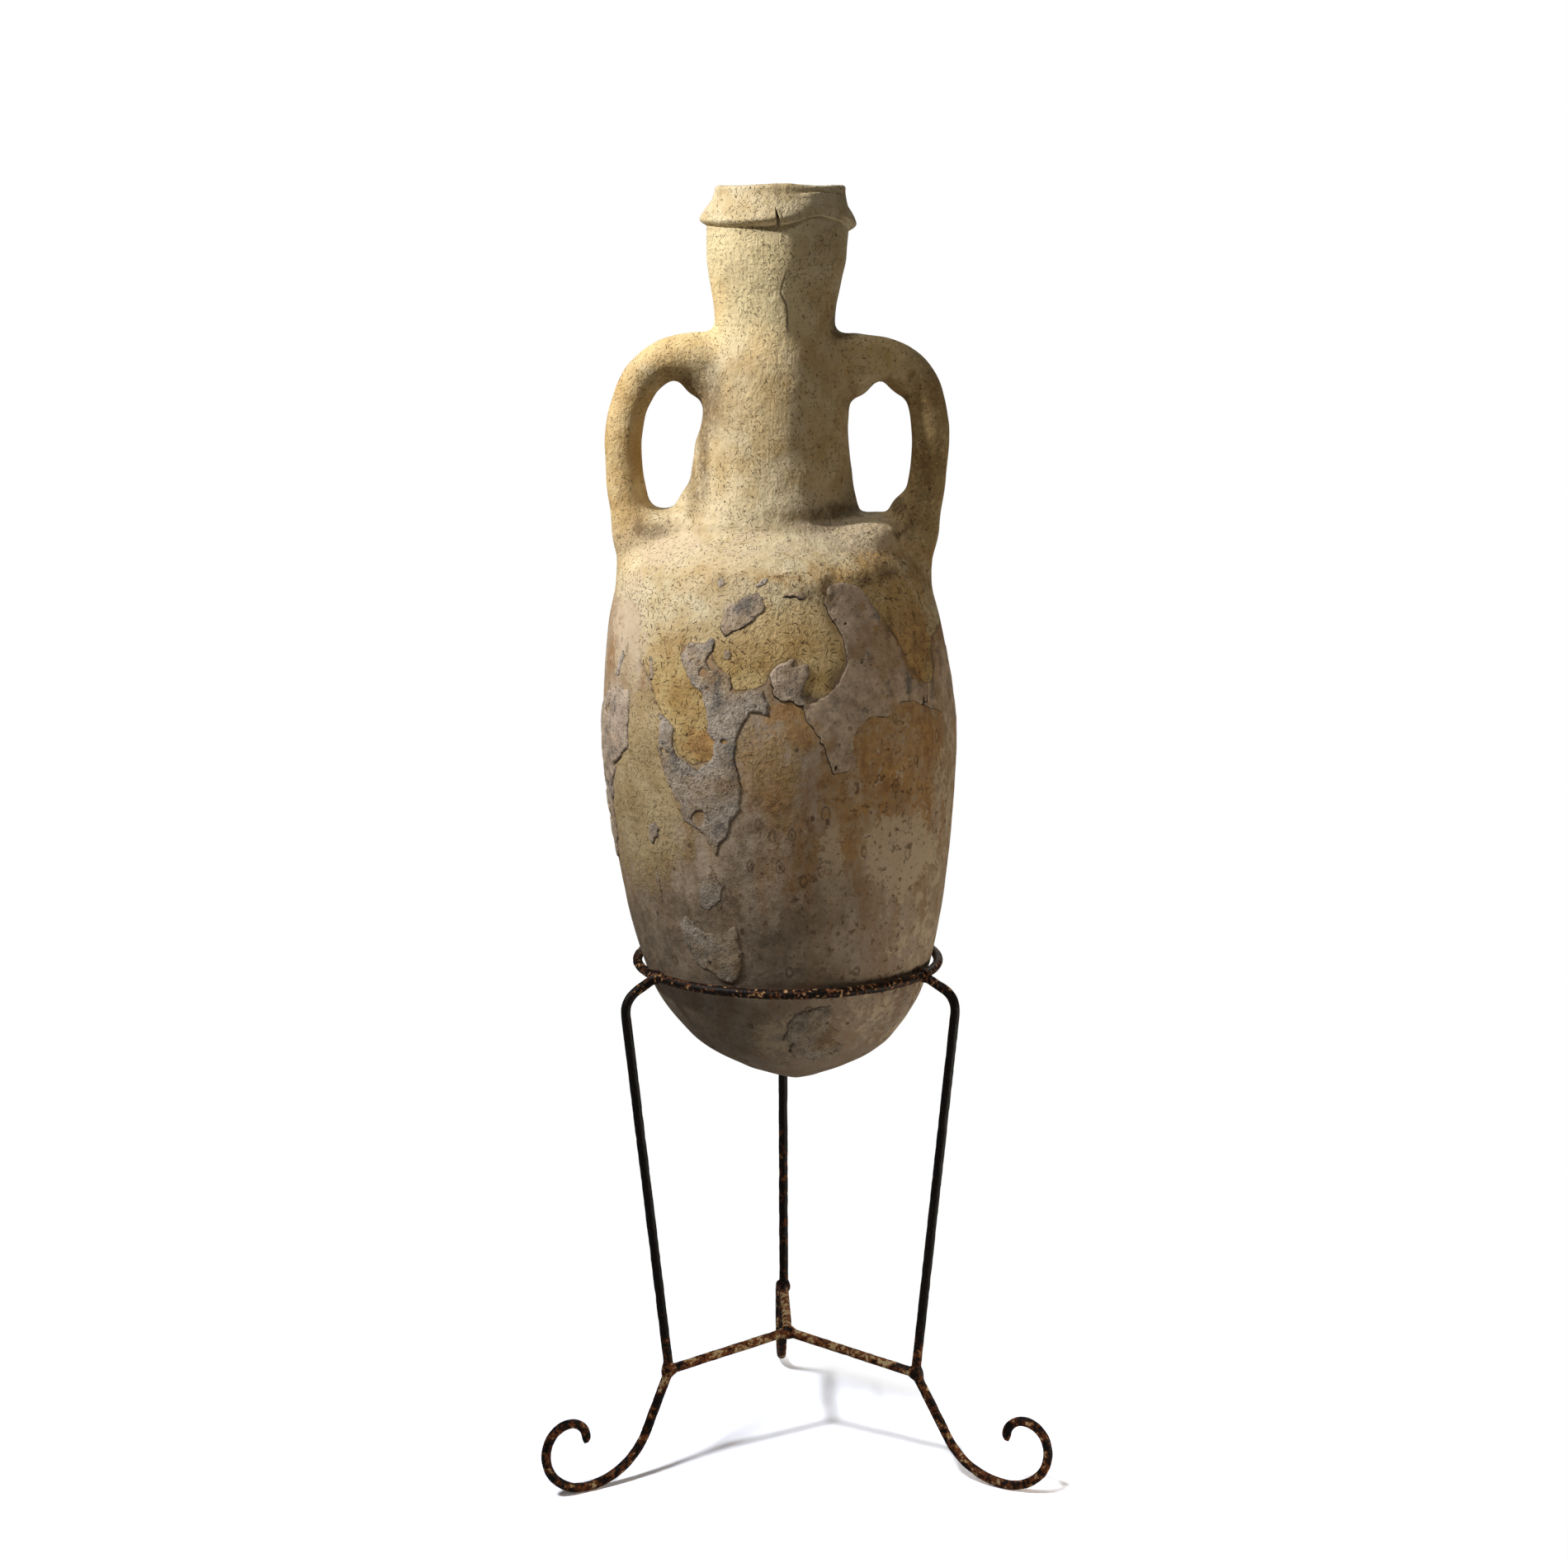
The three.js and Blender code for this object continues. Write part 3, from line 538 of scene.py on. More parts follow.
belly_curve = smooth_curve([
    (0, 0), (0.174, 0.019), (0.342, 0.041), (0.504, 0.07), (0.609, 0.101), (0.745, 0.16),
    (0.82, 0.22), (0.9, 0.325), (0.955, 0.44), (0.988, 0.54), (1, 0.635), (0.985, 0.71),
    (0.942, 0.81), (0.872, 0.893), (0.765, 0.942), (0.487, 1),
], 400) * (BELLY_RADIUS, BELLY_HEIGHT)
neck_curve = smooth_curve([
    (84, 0), (77.5, 27.5), (73, 55), (71, 82.5), (70.3, 110), (66, 145.8), (60, 171.9),
    (58.5, 188.1), (60.3, 209), (63.4, 226.9), (66.4, 247.5), (67.5, 275),
], 200) * MM
under_strip = np.array([
    (67.4, 278), (66.8, 282), (65.6, 287), (64, 292), (62, 297), (59.6, 303), (57.5, 308.5),
]) * MM
neck_outline = np.vstack([[(84 * MM, -50 * MM)], neck_curve, under_strip])
lean_curve = smooth_curve([
    (0, 0.62), (0.144, 0), (0.3, -0.38), (0.41, -0.62), (0.576, -1), (0.75, -0.9), (0.86, -0.92),
    (0.95, -0.72), (1, -0.54),
], 200)


def lean_at(height):
    """How far the jar's own middle stands to the right of the ring's axis, at a height on it."""
    shares = np.array([height, RING_ON_JAR + 0 * height]) / (BELLY_HEIGHT + NECK_HEIGHT)
    line, seat = np.interp(shares, lean_curve[:, 0], lean_curve[:, 1])
    return LEAN * (line - seat)


def own_place(points):
    """Points measured from the jar's own leaning middle and from its toe."""
    own = points - (AXIS_X, AXIS_Y, TOE_Z)
    own[:, 0] -= lean_at(own[:, 2])
    return own


print("widest belly radius", round(belly_curve[:, 0].max(), 4))
print("lean at the lip", round(float(lean_at(BELLY_HEIGHT + NECK_HEIGHT)), 4))

# %% [markdown]
# ## The jar as a field
#
# Where two lumps of wet clay are pressed together, the potter's thumb leaves a soft fillet. The
# easiest way to get it is not to model surfaces at all, but a field: a number at each point of
# space that says how far it is outside the clay. Two shapes join softly when the smaller of
# their numbers is taken with a rounded corner. Neck, belly, handles and the wads of luting clay
# under the handles are joined that way.


# %% Field of the jar
HANDLE_FOOT = -78 * MM
LEFT_HANDLE = {
    "side": -1, "reach": 144 * MM, "top": 155 * MM,
    "path": [(0.34, 1), (0.55, 1), (0.73, 0.977), (0.88, 0.905), (0.97, 0.79), (1, 0.657),
             (0.995, 0.528), (0.96, 0.4), (0.905, 0.258), (0.85, 0.129), (0.79, 0)],
}
RIGHT_HANDLE = {
    "side": 1, "reach": 147.5 * MM, "top": 157 * MM,
    "path": [(0.33, 0.98), (0.54, 0.985), (0.74, 0.975), (0.885, 0.915), (0.97, 0.81), (1, 0.67),
             (0.99, 0.53), (0.955, 0.4), (0.9, 0.258), (0.84, 0.129), (0.775, 0)],
}
HANDLE_SWELL = [1.36, 1.22, 1.1, 1.05, 1.02, 1, 1.0, 1.06, 1.22, 1.35, 1.2]
FLARES = [((-0.069, 0.0, 0.556), (0.026, 0.04, 0.036)), ((-0.064, 0.0, 0.592), (0.017, 0.038, 0.05))]
# Lines on the front of the right handle and its foot, as (x, height) on the jar
FURROW = np.array([(0.128, 0.69), (0.1335, 0.66), (0.138, 0.62), (0.14, 0.585)])
FOOT_CREASE = np.array([(0.1205, 0.541), (0.1245, 0.529), (0.134, 0.512), (0.146, 0.499)])
# Egg-shaped lumps by side: middle on the jar, then half sizes
WADS = {
    -1: [((-0.1, 0.0, 0.54), (0.044, 0.036, 0.024))],
    1: [((0.098, 0.004, 0.538), (0.046, 0.04, 0.022)), ((0.078, -0.036, 0.536), (0.042, 0.036, 0.022))],
}
WEBS = {
    -1: [((-0.071, 0.0, 0.687), (0.020, 0.016, 0.021))],
    1: [((0.073, 0.0, 0.688), (0.020, 0.016, 0.021)), ((0.119, 0.0, 0.684), (0.013, 0.015, 0.013)),
        ((0.125, 0.0, 0.562), (0.014, 0.016, 0.014))],
}
HANDLE_THICKNESS = 37.5 * MM
HANDLE_WIDTH = 40.5 * MM
HANDLE_STEPS = 70
HANDLE_IN, HANDLE_OUT, HANDLE_LOW, HANDLE_HIGH = 0.02, 0.08, 0.44, 0.75
NECK_FILLET, HANDLE_FILLET, WAD_FILLET, FURROW_FILLET = 8 * MM, 12 * MM, 14 * MM, 3 * MM
FURROW_SIZE, FURROW_FRONT = 4.2 * MM, 20.5 * MM

# Swells and hollows of the wheel-less jar: how much, at which height or bearing, and how broad
SHOULDER_SWELL = (2.8 * MM, 0.513, 0.019)
THROAT_HOLLOW = (1.6 * MM, 0.557, 0.006)
NECK_SPUR, NECK_FLAT = (1.7, 8, 13), (1.8, -30, 22)
SPUR_HEIGHT = (1.0, 0.765, 0.055)
CREASE = (2.2 * MM, 0, 0.0065)

# Lumps of the scraped clay: height in mm, size and shift
CLAY_LUMPS = ((0.9, 0.085, 0.0), (0.6, 0.033, 4.3), (0.4, 0.014, 9.1))
LUMPS_OUT = 0.6 * MM


def soft_join(first, second, radius):
    """The union of two fields, filleted with about this radius."""
    share = np.clip(0.5 + (second - first) / (2 * radius), 0, 1)
    return second + (first - second) * share - radius * share * (1 - share)


def turned_field(round_distance, height, curve, inset):
    """Distance outside a shape turned from an outline of (radius, height)."""
    radius = np.interp(height, curve[:, 1], curve[:, 0] - inset)
    slope = np.interp(height, curve[:, 1], np.gradient(curve[:, 0]) / np.gradient(curve[:, 1]))
    inside = (round_distance - radius) / np.sqrt(1 + np.clip(slope, -6, 6) ** 2)
    beyond = np.maximum(curve[0, 1] - height, height - curve[-1, 1])
    ends = np.hypot(np.maximum(round_distance - radius, 0), np.maximum(beyond, 0))
    return np.where(beyond > 0, ends, np.maximum(inside, beyond))


def from_run(points, start, end):
    """Distance of points from a straight run, and where along it the nearest place is, 0 to 1."""
    run = end - start
    part = np.clip((points - start) @ run / (run @ run), 0, 1)
    return np.linalg.norm(points - start - part[:, None] * run, axis=1), part


def line_distance(flat, line):
    """Distance of flat points from a line of straight runs."""
    return np.min([from_run(flat, start, end)[0] for start, end in zip(line[:-1], line[1:])], 0)


def handle_field(points, handle):
    """Distance outside one rolled handle, given points on the jar's own axis."""
    rise = handle["top"] - HANDLE_FOOT
    path = smooth_curve(handle["path"], HANDLE_STEPS)
    spine = np.stack([
        handle["side"] * path[:, 0] * handle["reach"],
        BELLY_HEIGHT + HANDLE_FOOT + path[:, 1] * rise,
    ], 1)
    last = len(HANDLE_SWELL) - 1
    swell = np.interp(np.linspace(0, last, HANDLE_STEPS), np.arange(last + 1), HANDLE_SWELL)
    nearest = np.full(len(points), np.inf)
    depth = points[:, 1] * HANDLE_THICKNESS / HANDLE_WIDTH
    for k in range(len(spine) - 1):
        gap, part = from_run(points[:, [0, 2]], spine[k], spine[k + 1])
        size = HANDLE_THICKNESS / 2 * (swell[k] + (swell[k + 1] - swell[k]) * part)
        nearest = np.minimum(nearest, np.hypot(gap, depth) - size)
    return nearest


def blob_field(points, middle, sizes):
    """Rough distance outside an egg-shaped lump."""
    scaled = np.linalg.norm((points - middle) / sizes, axis=1)
    return (scaled - 1) * min(sizes)


def hump(value, height, middle, breadth):
    """A smooth bell of this height where the value is at its middle."""
    return height * np.exp(-(((value - middle) / breadth) ** 2))


def stem_field(own):
    """Distance outside the neck with its flares and its spur at the front."""
    stem = turned_field(np.hypot(own[:, 0], own[:, 1]), own[:, 2] - BELLY_HEIGHT, neck_outline, LUTING_ROOM)
    for middle, sizes in FLARES:
        stem = soft_join(stem, blob_field(own, middle, sizes), NECK_FILLET)
    bearing = np.degrees(np.arctan2(own[:, 0], -own[:, 1]))
    spur = hump(bearing, *NECK_SPUR) - hump(bearing, *NECK_FLAT)
    return stem - spur * hump(own[:, 2], *SPUR_HEIGHT) * MM


def add_handle(field, own, handle):
    """Joins a handle with its wads and webs of luting clay to the field, in place."""
    side = handle["side"]
    close = (own[:, 0] * side > HANDLE_IN) & (np.abs(own[:, 1]) < HANDLE_OUT)
    close &= (own[:, 2] > HANDLE_LOW) & (own[:, 2] < HANDLE_HIGH)
    near = own[close]
    clay = handle_field(near, handle)
    for lumps_of_clay, fillet in ((WADS[side], WAD_FILLET), (WEBS[side], HANDLE_FILLET)):
        for middle, sizes in lumps_of_clay:
            clay = soft_join(clay, blob_field(near, middle, sizes), fillet)
    if side > 0:
        groove = np.hypot(line_distance(near[:, [0, 2]], FURROW), near[:, 1] + FURROW_FRONT)
        clay = -soft_join(-clay, groove - FURROW_SIZE, FURROW_FILLET)
    field[close] = soft_join(field[close], clay, HANDLE_FILLET)
    if side > 0:
        crease = hump(line_distance(near[:, [0, 2]], FOOT_CREASE), *CREASE)
        field[close] += crease * np.clip(-near[:, 1] / 0.02, 0, 1)


def jar_field(points):
    """Distance outside the solid jar, in metres, at points of the object's frame."""
    own = own_place(points)
    height = own[:, 2]
    field = turned_field(np.hypot(own[:, 0], own[:, 1]), height, belly_curve, CRUST_ROOM)
    field -= hump(height, *SHOULDER_SWELL)
    high = height > BELLY_HEIGHT - 0.06
    field[high] = soft_join(field[high], stem_field(own[high]), NECK_FILLET)
    field[high] += hump(height[high], *THROAT_HOLLOW)
    for handle in (LEFT_HANDLE, RIGHT_HANDLE):
        add_handle(field, own, handle)
    near = np.abs(field) < 9 * MM
    spots = points[near]
    more = 0.8 + 0.7 * np.clip((spots[:, 2] - 0.9) / 0.1, 0, 1)
    field[near] += layered(spots, *CLAY_LUMPS) * more * MM + LUMPS_OUT
    return field


sample = np.array([[AXIS_X, AXIS_Y - BELLY_RADIUS, TOE_Z + 0.635 * BELLY_HEIGHT]])
print("clay at the packed belly's front is", (jar_field(sample) / MM).round(2).tolist(), "mm inside it")

# %% [markdown]
# ## From a field to a skin
#
# A surface net turns the field into a mesh. The field is worked out on a regular grid. Each grid
# cube that the surface passes through gets one point, at the middle of the places where the
# surface cuts its edges, and each cut edge gets one four-sided face between the four cubes round
# it. The result is closed by its nature. The points are then moved on to the exact surface.


# %% Surface net
def surface_net(field, low, step):
    """Points and four-sided faces of the closed surface where the field is zero."""
    shape = np.array(field.shape) - 1
    total = np.zeros((*shape, 3), np.float32)
    count = np.zeros(shape, np.float32)
    inside = field < 0
    for axis in range(3):
        value = np.moveaxis(field, axis, 0)
        cut = np.moveaxis(inside, axis, 0)
        cut = cut[:-1] != cut[1:]
        share = np.where(cut, value[:-1] / np.where(cut, value[:-1] - value[1:], 1), 0)
        for u in (0, 1):
            for v in (0, 1):
                rows = slice(u, cut.shape[1] - 1 + u)
                columns = slice(v, cut.shape[2] - 1 + v)
                hit = np.moveaxis(cut[:, rows, columns], 0, axis)
                part = np.moveaxis(share[:, rows, columns], 0, axis)
                others = [a for a in range(3) if a != axis]
                count += hit
                for a, place in zip((axis, *others), (part, u * hit, v * hit)):
                    total[..., a] += place
    active = count > 0
    number = np.full(shape, -1)
    number[active] = np.arange(active.sum())
    cells = np.argwhere(active)
    points = low + (cells + total[active] / count[active][:, None]) * step
    faces = []
    for axis in range(3):
        u, v = (axis + 1) % 3, (axis + 2) % 3
        order = (axis, u, v)
        value = np.transpose(inside, order)
        index = np.transpose(number, order)
        leaving = value[:-1, 1:-1, 1:-1] & ~value[1:, 1:-1, 1:-1]
        entering = ~value[:-1, 1:-1, 1:-1] & value[1:, 1:-1, 1:-1]
        for mask, turn in ((leaving, 1), (entering, -1)):
            i, j, k = np.nonzero(mask)
            ring = [index[i, j, k], index[i, j + 1, k], index[i, j + 1, k + 1], index[i, j, k + 1]]
            faces.append(np.stack(ring[::turn], 1))
    return points, np.concatenate(faces)


def field_slope(points, field, reach):
    """Direction in which the field grows, from small steps each way."""
    slope = np.zeros_like(points)
    for axis in range(3):
        step = np.zeros(3)
        step[axis] = reach
        slope[:, axis] = (field(points + step) - field(points - step)) / (2 * reach)
    return slope


def settle(points, field, reach):
    """Moves points straight on to the surface."""
    for _ in range(2):
        slope = field_slope(points, field, reach)
        steep = np.maximum((slope**2).sum(1), 0.2)
        points = points - slope * (field(points) / steep)[:, None]
    return points


def net_of(field, low, high, step, reach=0.3 * MM):
    """The skin of a field inside a box, on a grid of this step."""
    axes = [np.arange(a - 2 * step, b + 3 * step, step) for a, b in zip(low, high)]
    grid = np.stack(np.meshgrid(*axes, indexing="ij"), -1)
    values = field(grid.reshape(-1, 3)).reshape(grid.shape[:3])
    points, faces = surface_net(values, grid[0, 0, 0], step)
    return settle(points, field, reach), faces


# %% Meshes and pieces
def mesh_object(name, points, faces):
    """A smooth mesh object from points and faces that all have the same number of corners."""
    mesh = bpy.data.meshes.new(name)
    faces = np.asarray(faces)
    mesh.vertices.add(len(points))
    mesh.vertices.foreach_set("co", np.asarray(points, np.float32).ravel())
    mesh.loops.add(faces.size)
    mesh.loops.foreach_set("vertex_index", faces.ravel().astype(np.int32))
    mesh.polygons.add(len(faces))
    corners = faces.shape[1]
    mesh.polygons.foreach_set("loop_start", np.arange(0, faces.size, corners, dtype=np.int32))
    mesh.polygons.foreach_set("use_smooth", np.ones(len(faces), bool))
    mesh.update(calc_edges=True)
    mesh.validate()
    piece = bpy.data.objects.new(name, mesh)
    bpy.context.scene.collection.objects.link(piece)
    return piece


def paint(piece, name, values):
    """Keeps one number for each point of a piece, for a finish or a node tree to read."""
    data = piece.data.attributes.new(name, "FLOAT", "POINT").data
    data.foreach_set("value", np.asarray(values, np.float32))


def dress(piece, material, body, slot, *nodes):
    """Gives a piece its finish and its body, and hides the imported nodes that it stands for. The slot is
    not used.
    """
    piece.data.materials.clear()
    piece.data.materials.append(material)
    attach(piece, body)
    if nodes:
        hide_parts(*nodes)
    triangles = sum(len(face.vertices) - 2 for face in piece.data.polygons)
    print(f"{piece.name}: {triangles} triangles, stands for {', '.join(nodes) or 'nothing packed'}")


def baked(piece):
    """The piece with its modifiers turned into plain mesh."""
    bpy.context.view_layer.update()
    graph = bpy.context.evaluated_depsgraph_get()
    mesh = bpy.data.meshes.new_from_object(piece.evaluated_get(graph))
    piece.modifiers.clear()
    piece.data = mesh


print("helpers for meshes are ready")

# %% [markdown]
# ## The jar's clay
#
# The net gives a solid jar. The potter's hand also made it hollow: the inside is a turned shape,
# a wall's thickness smaller, cut out with a Boolean. The wall shows only at the mouth, and its
# lip is covered by the strip that is made next.

# %% The jar
NET_STEP = 3.6 * MM
JAR_LEFT, JAR_RIGHT, JAR_TOP = 182 * MM, 168 * MM, 4 * MM
HOLLOW_SIDES = 72

jar_low = (AXIS_X - JAR_LEFT, belly_low.y, TOE_Z)
jar_high = (AXIS_X + JAR_RIGHT, belly_high.y, LIP_Z - JAR_TOP)
jar_points, jar_faces = net_of(jar_field, jar_low, jar_high, NET_STEP)
jar = mesh_object("jar_clay", jar_points, jar_faces)

# Half the hollow's outline, as (radius, height over the toe) in mm
inner_curve = [
    (0, 11), (55, 30), (88, 58), (118, 92), (131, 125), (145, 180), (155, 245), (161, 310),
    (161, 370), (156, 430), (145, 478), (128, 506), (100, 527), (74, 540), (70, 570), (63, 610),
    (60.5, 650), (57, 700), (49, 735), (48.2, 745), (52, 785), (52.5, 815), (47.5, 840), (47, 890),
]
inner = smooth_curve(inner_curve, 90) * MM
inner[0, 0] = 0
turn = np.linspace(0, 2 * math.pi, HOLLOW_SIDES, endpoint=False)
middles = np.stack([AXIS_X + lean_at(inner[:, 1]), 0 * inner[:, 1] + AXIS_Y, TOE_Z + inner[:, 1]], 1)
circle = np.stack([np.cos(turn), np.sin(turn), 0 * turn], 1)
rings = (middles[1:, None] + inner[1:, 0, None, None] * circle).reshape(-1, 3)
hollow_points = np.vstack([rings, middles[0], middles[-1]])
hollow_faces = []
last = len(inner) - 2
for level in range(last):
    for side in range(HOLLOW_SIDES):
        a, b = level * HOLLOW_SIDES + side, level * HOLLOW_SIDES + (side + 1) % HOLLOW_SIDES
        hollow_faces += [(a, b, b + HOLLOW_SIDES), (a, b + HOLLOW_SIDES, a + HOLLOW_SIDES)]
for side in range(HOLLOW_SIDES):
    after = (side + 1) % HOLLOW_SIDES
    hollow_faces.append((len(rings), after, side))
    hollow_faces.append((len(rings) + 1, last * HOLLOW_SIDES + side, last * HOLLOW_SIDES + after))
hollow = mesh_object("jar_hollow", hollow_points, hollow_faces)

carve = jar.modifiers.new("carve", "BOOLEAN")
carve.operation = "DIFFERENCE"
carve.solver = "EXACT"
carve.object = hollow
baked(jar)
bpy.data.objects.remove(hollow)
dress(jar, fired_clay, "amphora", "neck_clay", "belly", "neck", "left_handle", "right_handle")

# %% [markdown]
# ## The strip round the mouth
#
# The mouth was finished with a strip of clay folded down over the outside. Its lower edge stands
# out as a ridge that wanders up and down. Its ends meet badly at the front and leave a dark
# slanting crack. It is one closed section carried round the mouth, with more steps at the crack,
# where the section is drawn in.

# %% Rim strip
fine_turns = np.radians(np.arange(-12, 12, 0.3))
coarse_turns = np.radians(np.arange(12, 348, 1.6))
strip_turns = np.concatenate([fine_turns, coarse_turns])

ridge_turns = np.radians([-180, -140, -90, -50, -30, -10, -2, 3, 15, 26, 38, 60, 90, 130, 180])
ridge_drop = np.array([31, 35, 33, 34, 34, 32.5, 31.5, 32, 28.5, 25, 23.5, 29, 38, 34, 31]) * MM
ridge_stand = np.array([10, 9, 12.6, 11.8, 11.6, 11.2, 11, 9.4, 7.4, 5.8, 4.9, 7.0, 12, 10, 10]) * MM
lip_turns = np.radians([-180, -130, -90, -60, -33, -15, -4, 8, 18, 36, 61, 85, 130, 180])
lip_dip = np.array([1.4, 1.7, 1.5, 1.8, 1.6, 0.8, 0.0, 0.2, 1.0, 2.1, 1.4, 1.2, 1.8, 1.4]) * MM
STRIP_SIDES = 74
STRIP_LUMPS = ((0.5, 0.021, 2.0), (0.22, 0.009, 6.0))
WAVY_FROM, SPLIT_FROM = 56 * MM, 60 * MM
SPLIT_DEPTH = 13 * MM


def signed_turn(angle):
    """An angle between half a turn back and half a turn on."""
    return (angle + math.pi) % (2 * math.pi) - math.pi


def strip_section(angle):
    """The strip's closed outline of (radius, height under the lip) at an angle from the front."""
    ridge = -np.interp(signed_turn(angle), ridge_turns, ridge_drop)
    stand = np.interp(signed_turn(angle), ridge_turns, ridge_stand)
    root = 61.5 * MM
    seat = np.interp(NECK_HEIGHT + ridge - 5 * MM, neck_outline[:, 1], neck_outline[:, 0])
    outside = [
        (seat - 7 * MM, ridge - 8.5 * MM), (seat - 2.5 * MM, ridge - 7 * MM),
        (seat + 0.5 * MM, ridge - 5.2 * MM),
        (0.45 * seat + 0.55 * (root + stand), ridge - 3.4 * MM), (root + 0.93 * stand, ridge - 1.6 * MM),
        (root + stand, ridge + 0.4 * MM), (root + 0.96 * stand, ridge + 2.6 * MM),
        (root + 0.83 * stand, ridge + 6 * MM), (root + 0.58 * stand, ridge + 11 * MM),
        (root + 0.24 * stand, ridge + 17 * MM),
    ]
    top = [
        (root - 0.1 * MM, -8 * MM), (root - 0.3 * MM, -3.8 * MM), (root - 1.4 * MM, -1.3 * MM),
        (root - 3.8 * MM, -0.15 * MM), (root - 7 * MM, -0.1 * MM), (root - 11 * MM, -0.8 * MM),
        (root - 13.6 * MM, -2.6 * MM), (root - 14.9 * MM, -6 * MM), (root - 15.1 * MM, -12 * MM),
        (root - 14 * MM, -19 * MM), (root - 11 * MM, -24 * MM), (root - 5 * MM, -30 * MM),
    ]
    return smooth_curve([*outside, *top, outside[0]], STRIP_SIDES)[:-1]


strip_points, strip_crack_shade = [], []
for angle in strip_turns:
    section = strip_section(angle)
    down = section[:, 1]
    spot = np.stack([0 * down + math.cos(angle), 0 * down + math.sin(angle), down * 12], 1) * 0.075
    radius = section[:, 0] + (section[:, 0] > WAVY_FROM) * layered(spot, *STRIP_LUMPS) * MM
    outer = section[:, 0] > SPLIT_FROM
    signed = signed_turn(angle)
    slant = np.radians(np.interp(down, [-41 * MM, -33 * MM, -22 * MM], [-0.4, 0.2, -2.6]))
    width = np.interp(down, [-44 * MM, -33 * MM, -22 * MM], [0.016, 0.026, 0.0])
    depth = np.clip(1 - np.abs(signed - slant) / np.maximum(width, 1e-4), 0, 1) * (width > 0) * SPLIT_DEPTH
    turned_out = hump(signed - slant, 0.5 * MM, 0.04, 0.018) * (down < -24 * MM)
    # Painted shade: the crack is darkened in proportion to its depth.
    strip_crack_shade.append(np.where(outer, depth / (5 * MM), 0).clip(0, 1))
    radius = np.where(outer, radius - depth + turned_out, radius)
    dip = np.interp(signed, lip_turns, lip_dip) + lumps(spot[:1], 0.012, 1.0)[0] * 0.25 * MM
    height = LIP_Z - TOE_Z + down - np.clip(1 + down / (20 * MM), 0, 1) * np.maximum(dip, 0.05 * MM)
    strip_points.append(np.stack([
        AXIS_X + lean_at(height) + radius * math.sin(angle),
        AXIS_Y - radius * math.cos(angle),
        TOE_Z + height,
    ], 1))
around, along = len(strip_turns), len(strip_points[0])
strip_faces = [
    (i * along + j, k * along + j, k * along + (j + 1) % along, i * along + (j + 1) % along)
    for i in range(around) for k in [(i + 1) % around] for j in range(along)
]
strip = mesh_object("rim_strip", np.concatenate(strip_points), strip_faces)
paint(strip, "dirt_and_shade", np.concatenate(strip_crack_shade))
dress(strip, fired_clay, "amphora", "neck_clay", "rim_collar")

# %% [markdown]
# ## Flakes of crust
#
# The outlines of the flakes are read off the photograph, in its pixels, from a cropped picture with its own
# corner and scale. A grid laid over the belly is projected to those pixels, each grid point gets its
# distance from the nearest outline, and that distance, ragged with noise, sets how thick the crust is
# there. Round the back, which the photograph doesn't show, the same outlines are used again, turned and
# mirrored.

# %% Outlines of the flakes
CROP_CORNER = np.array([690, 640])
CROP_SCALE = 2.5
PIXEL = 0.787 * MM

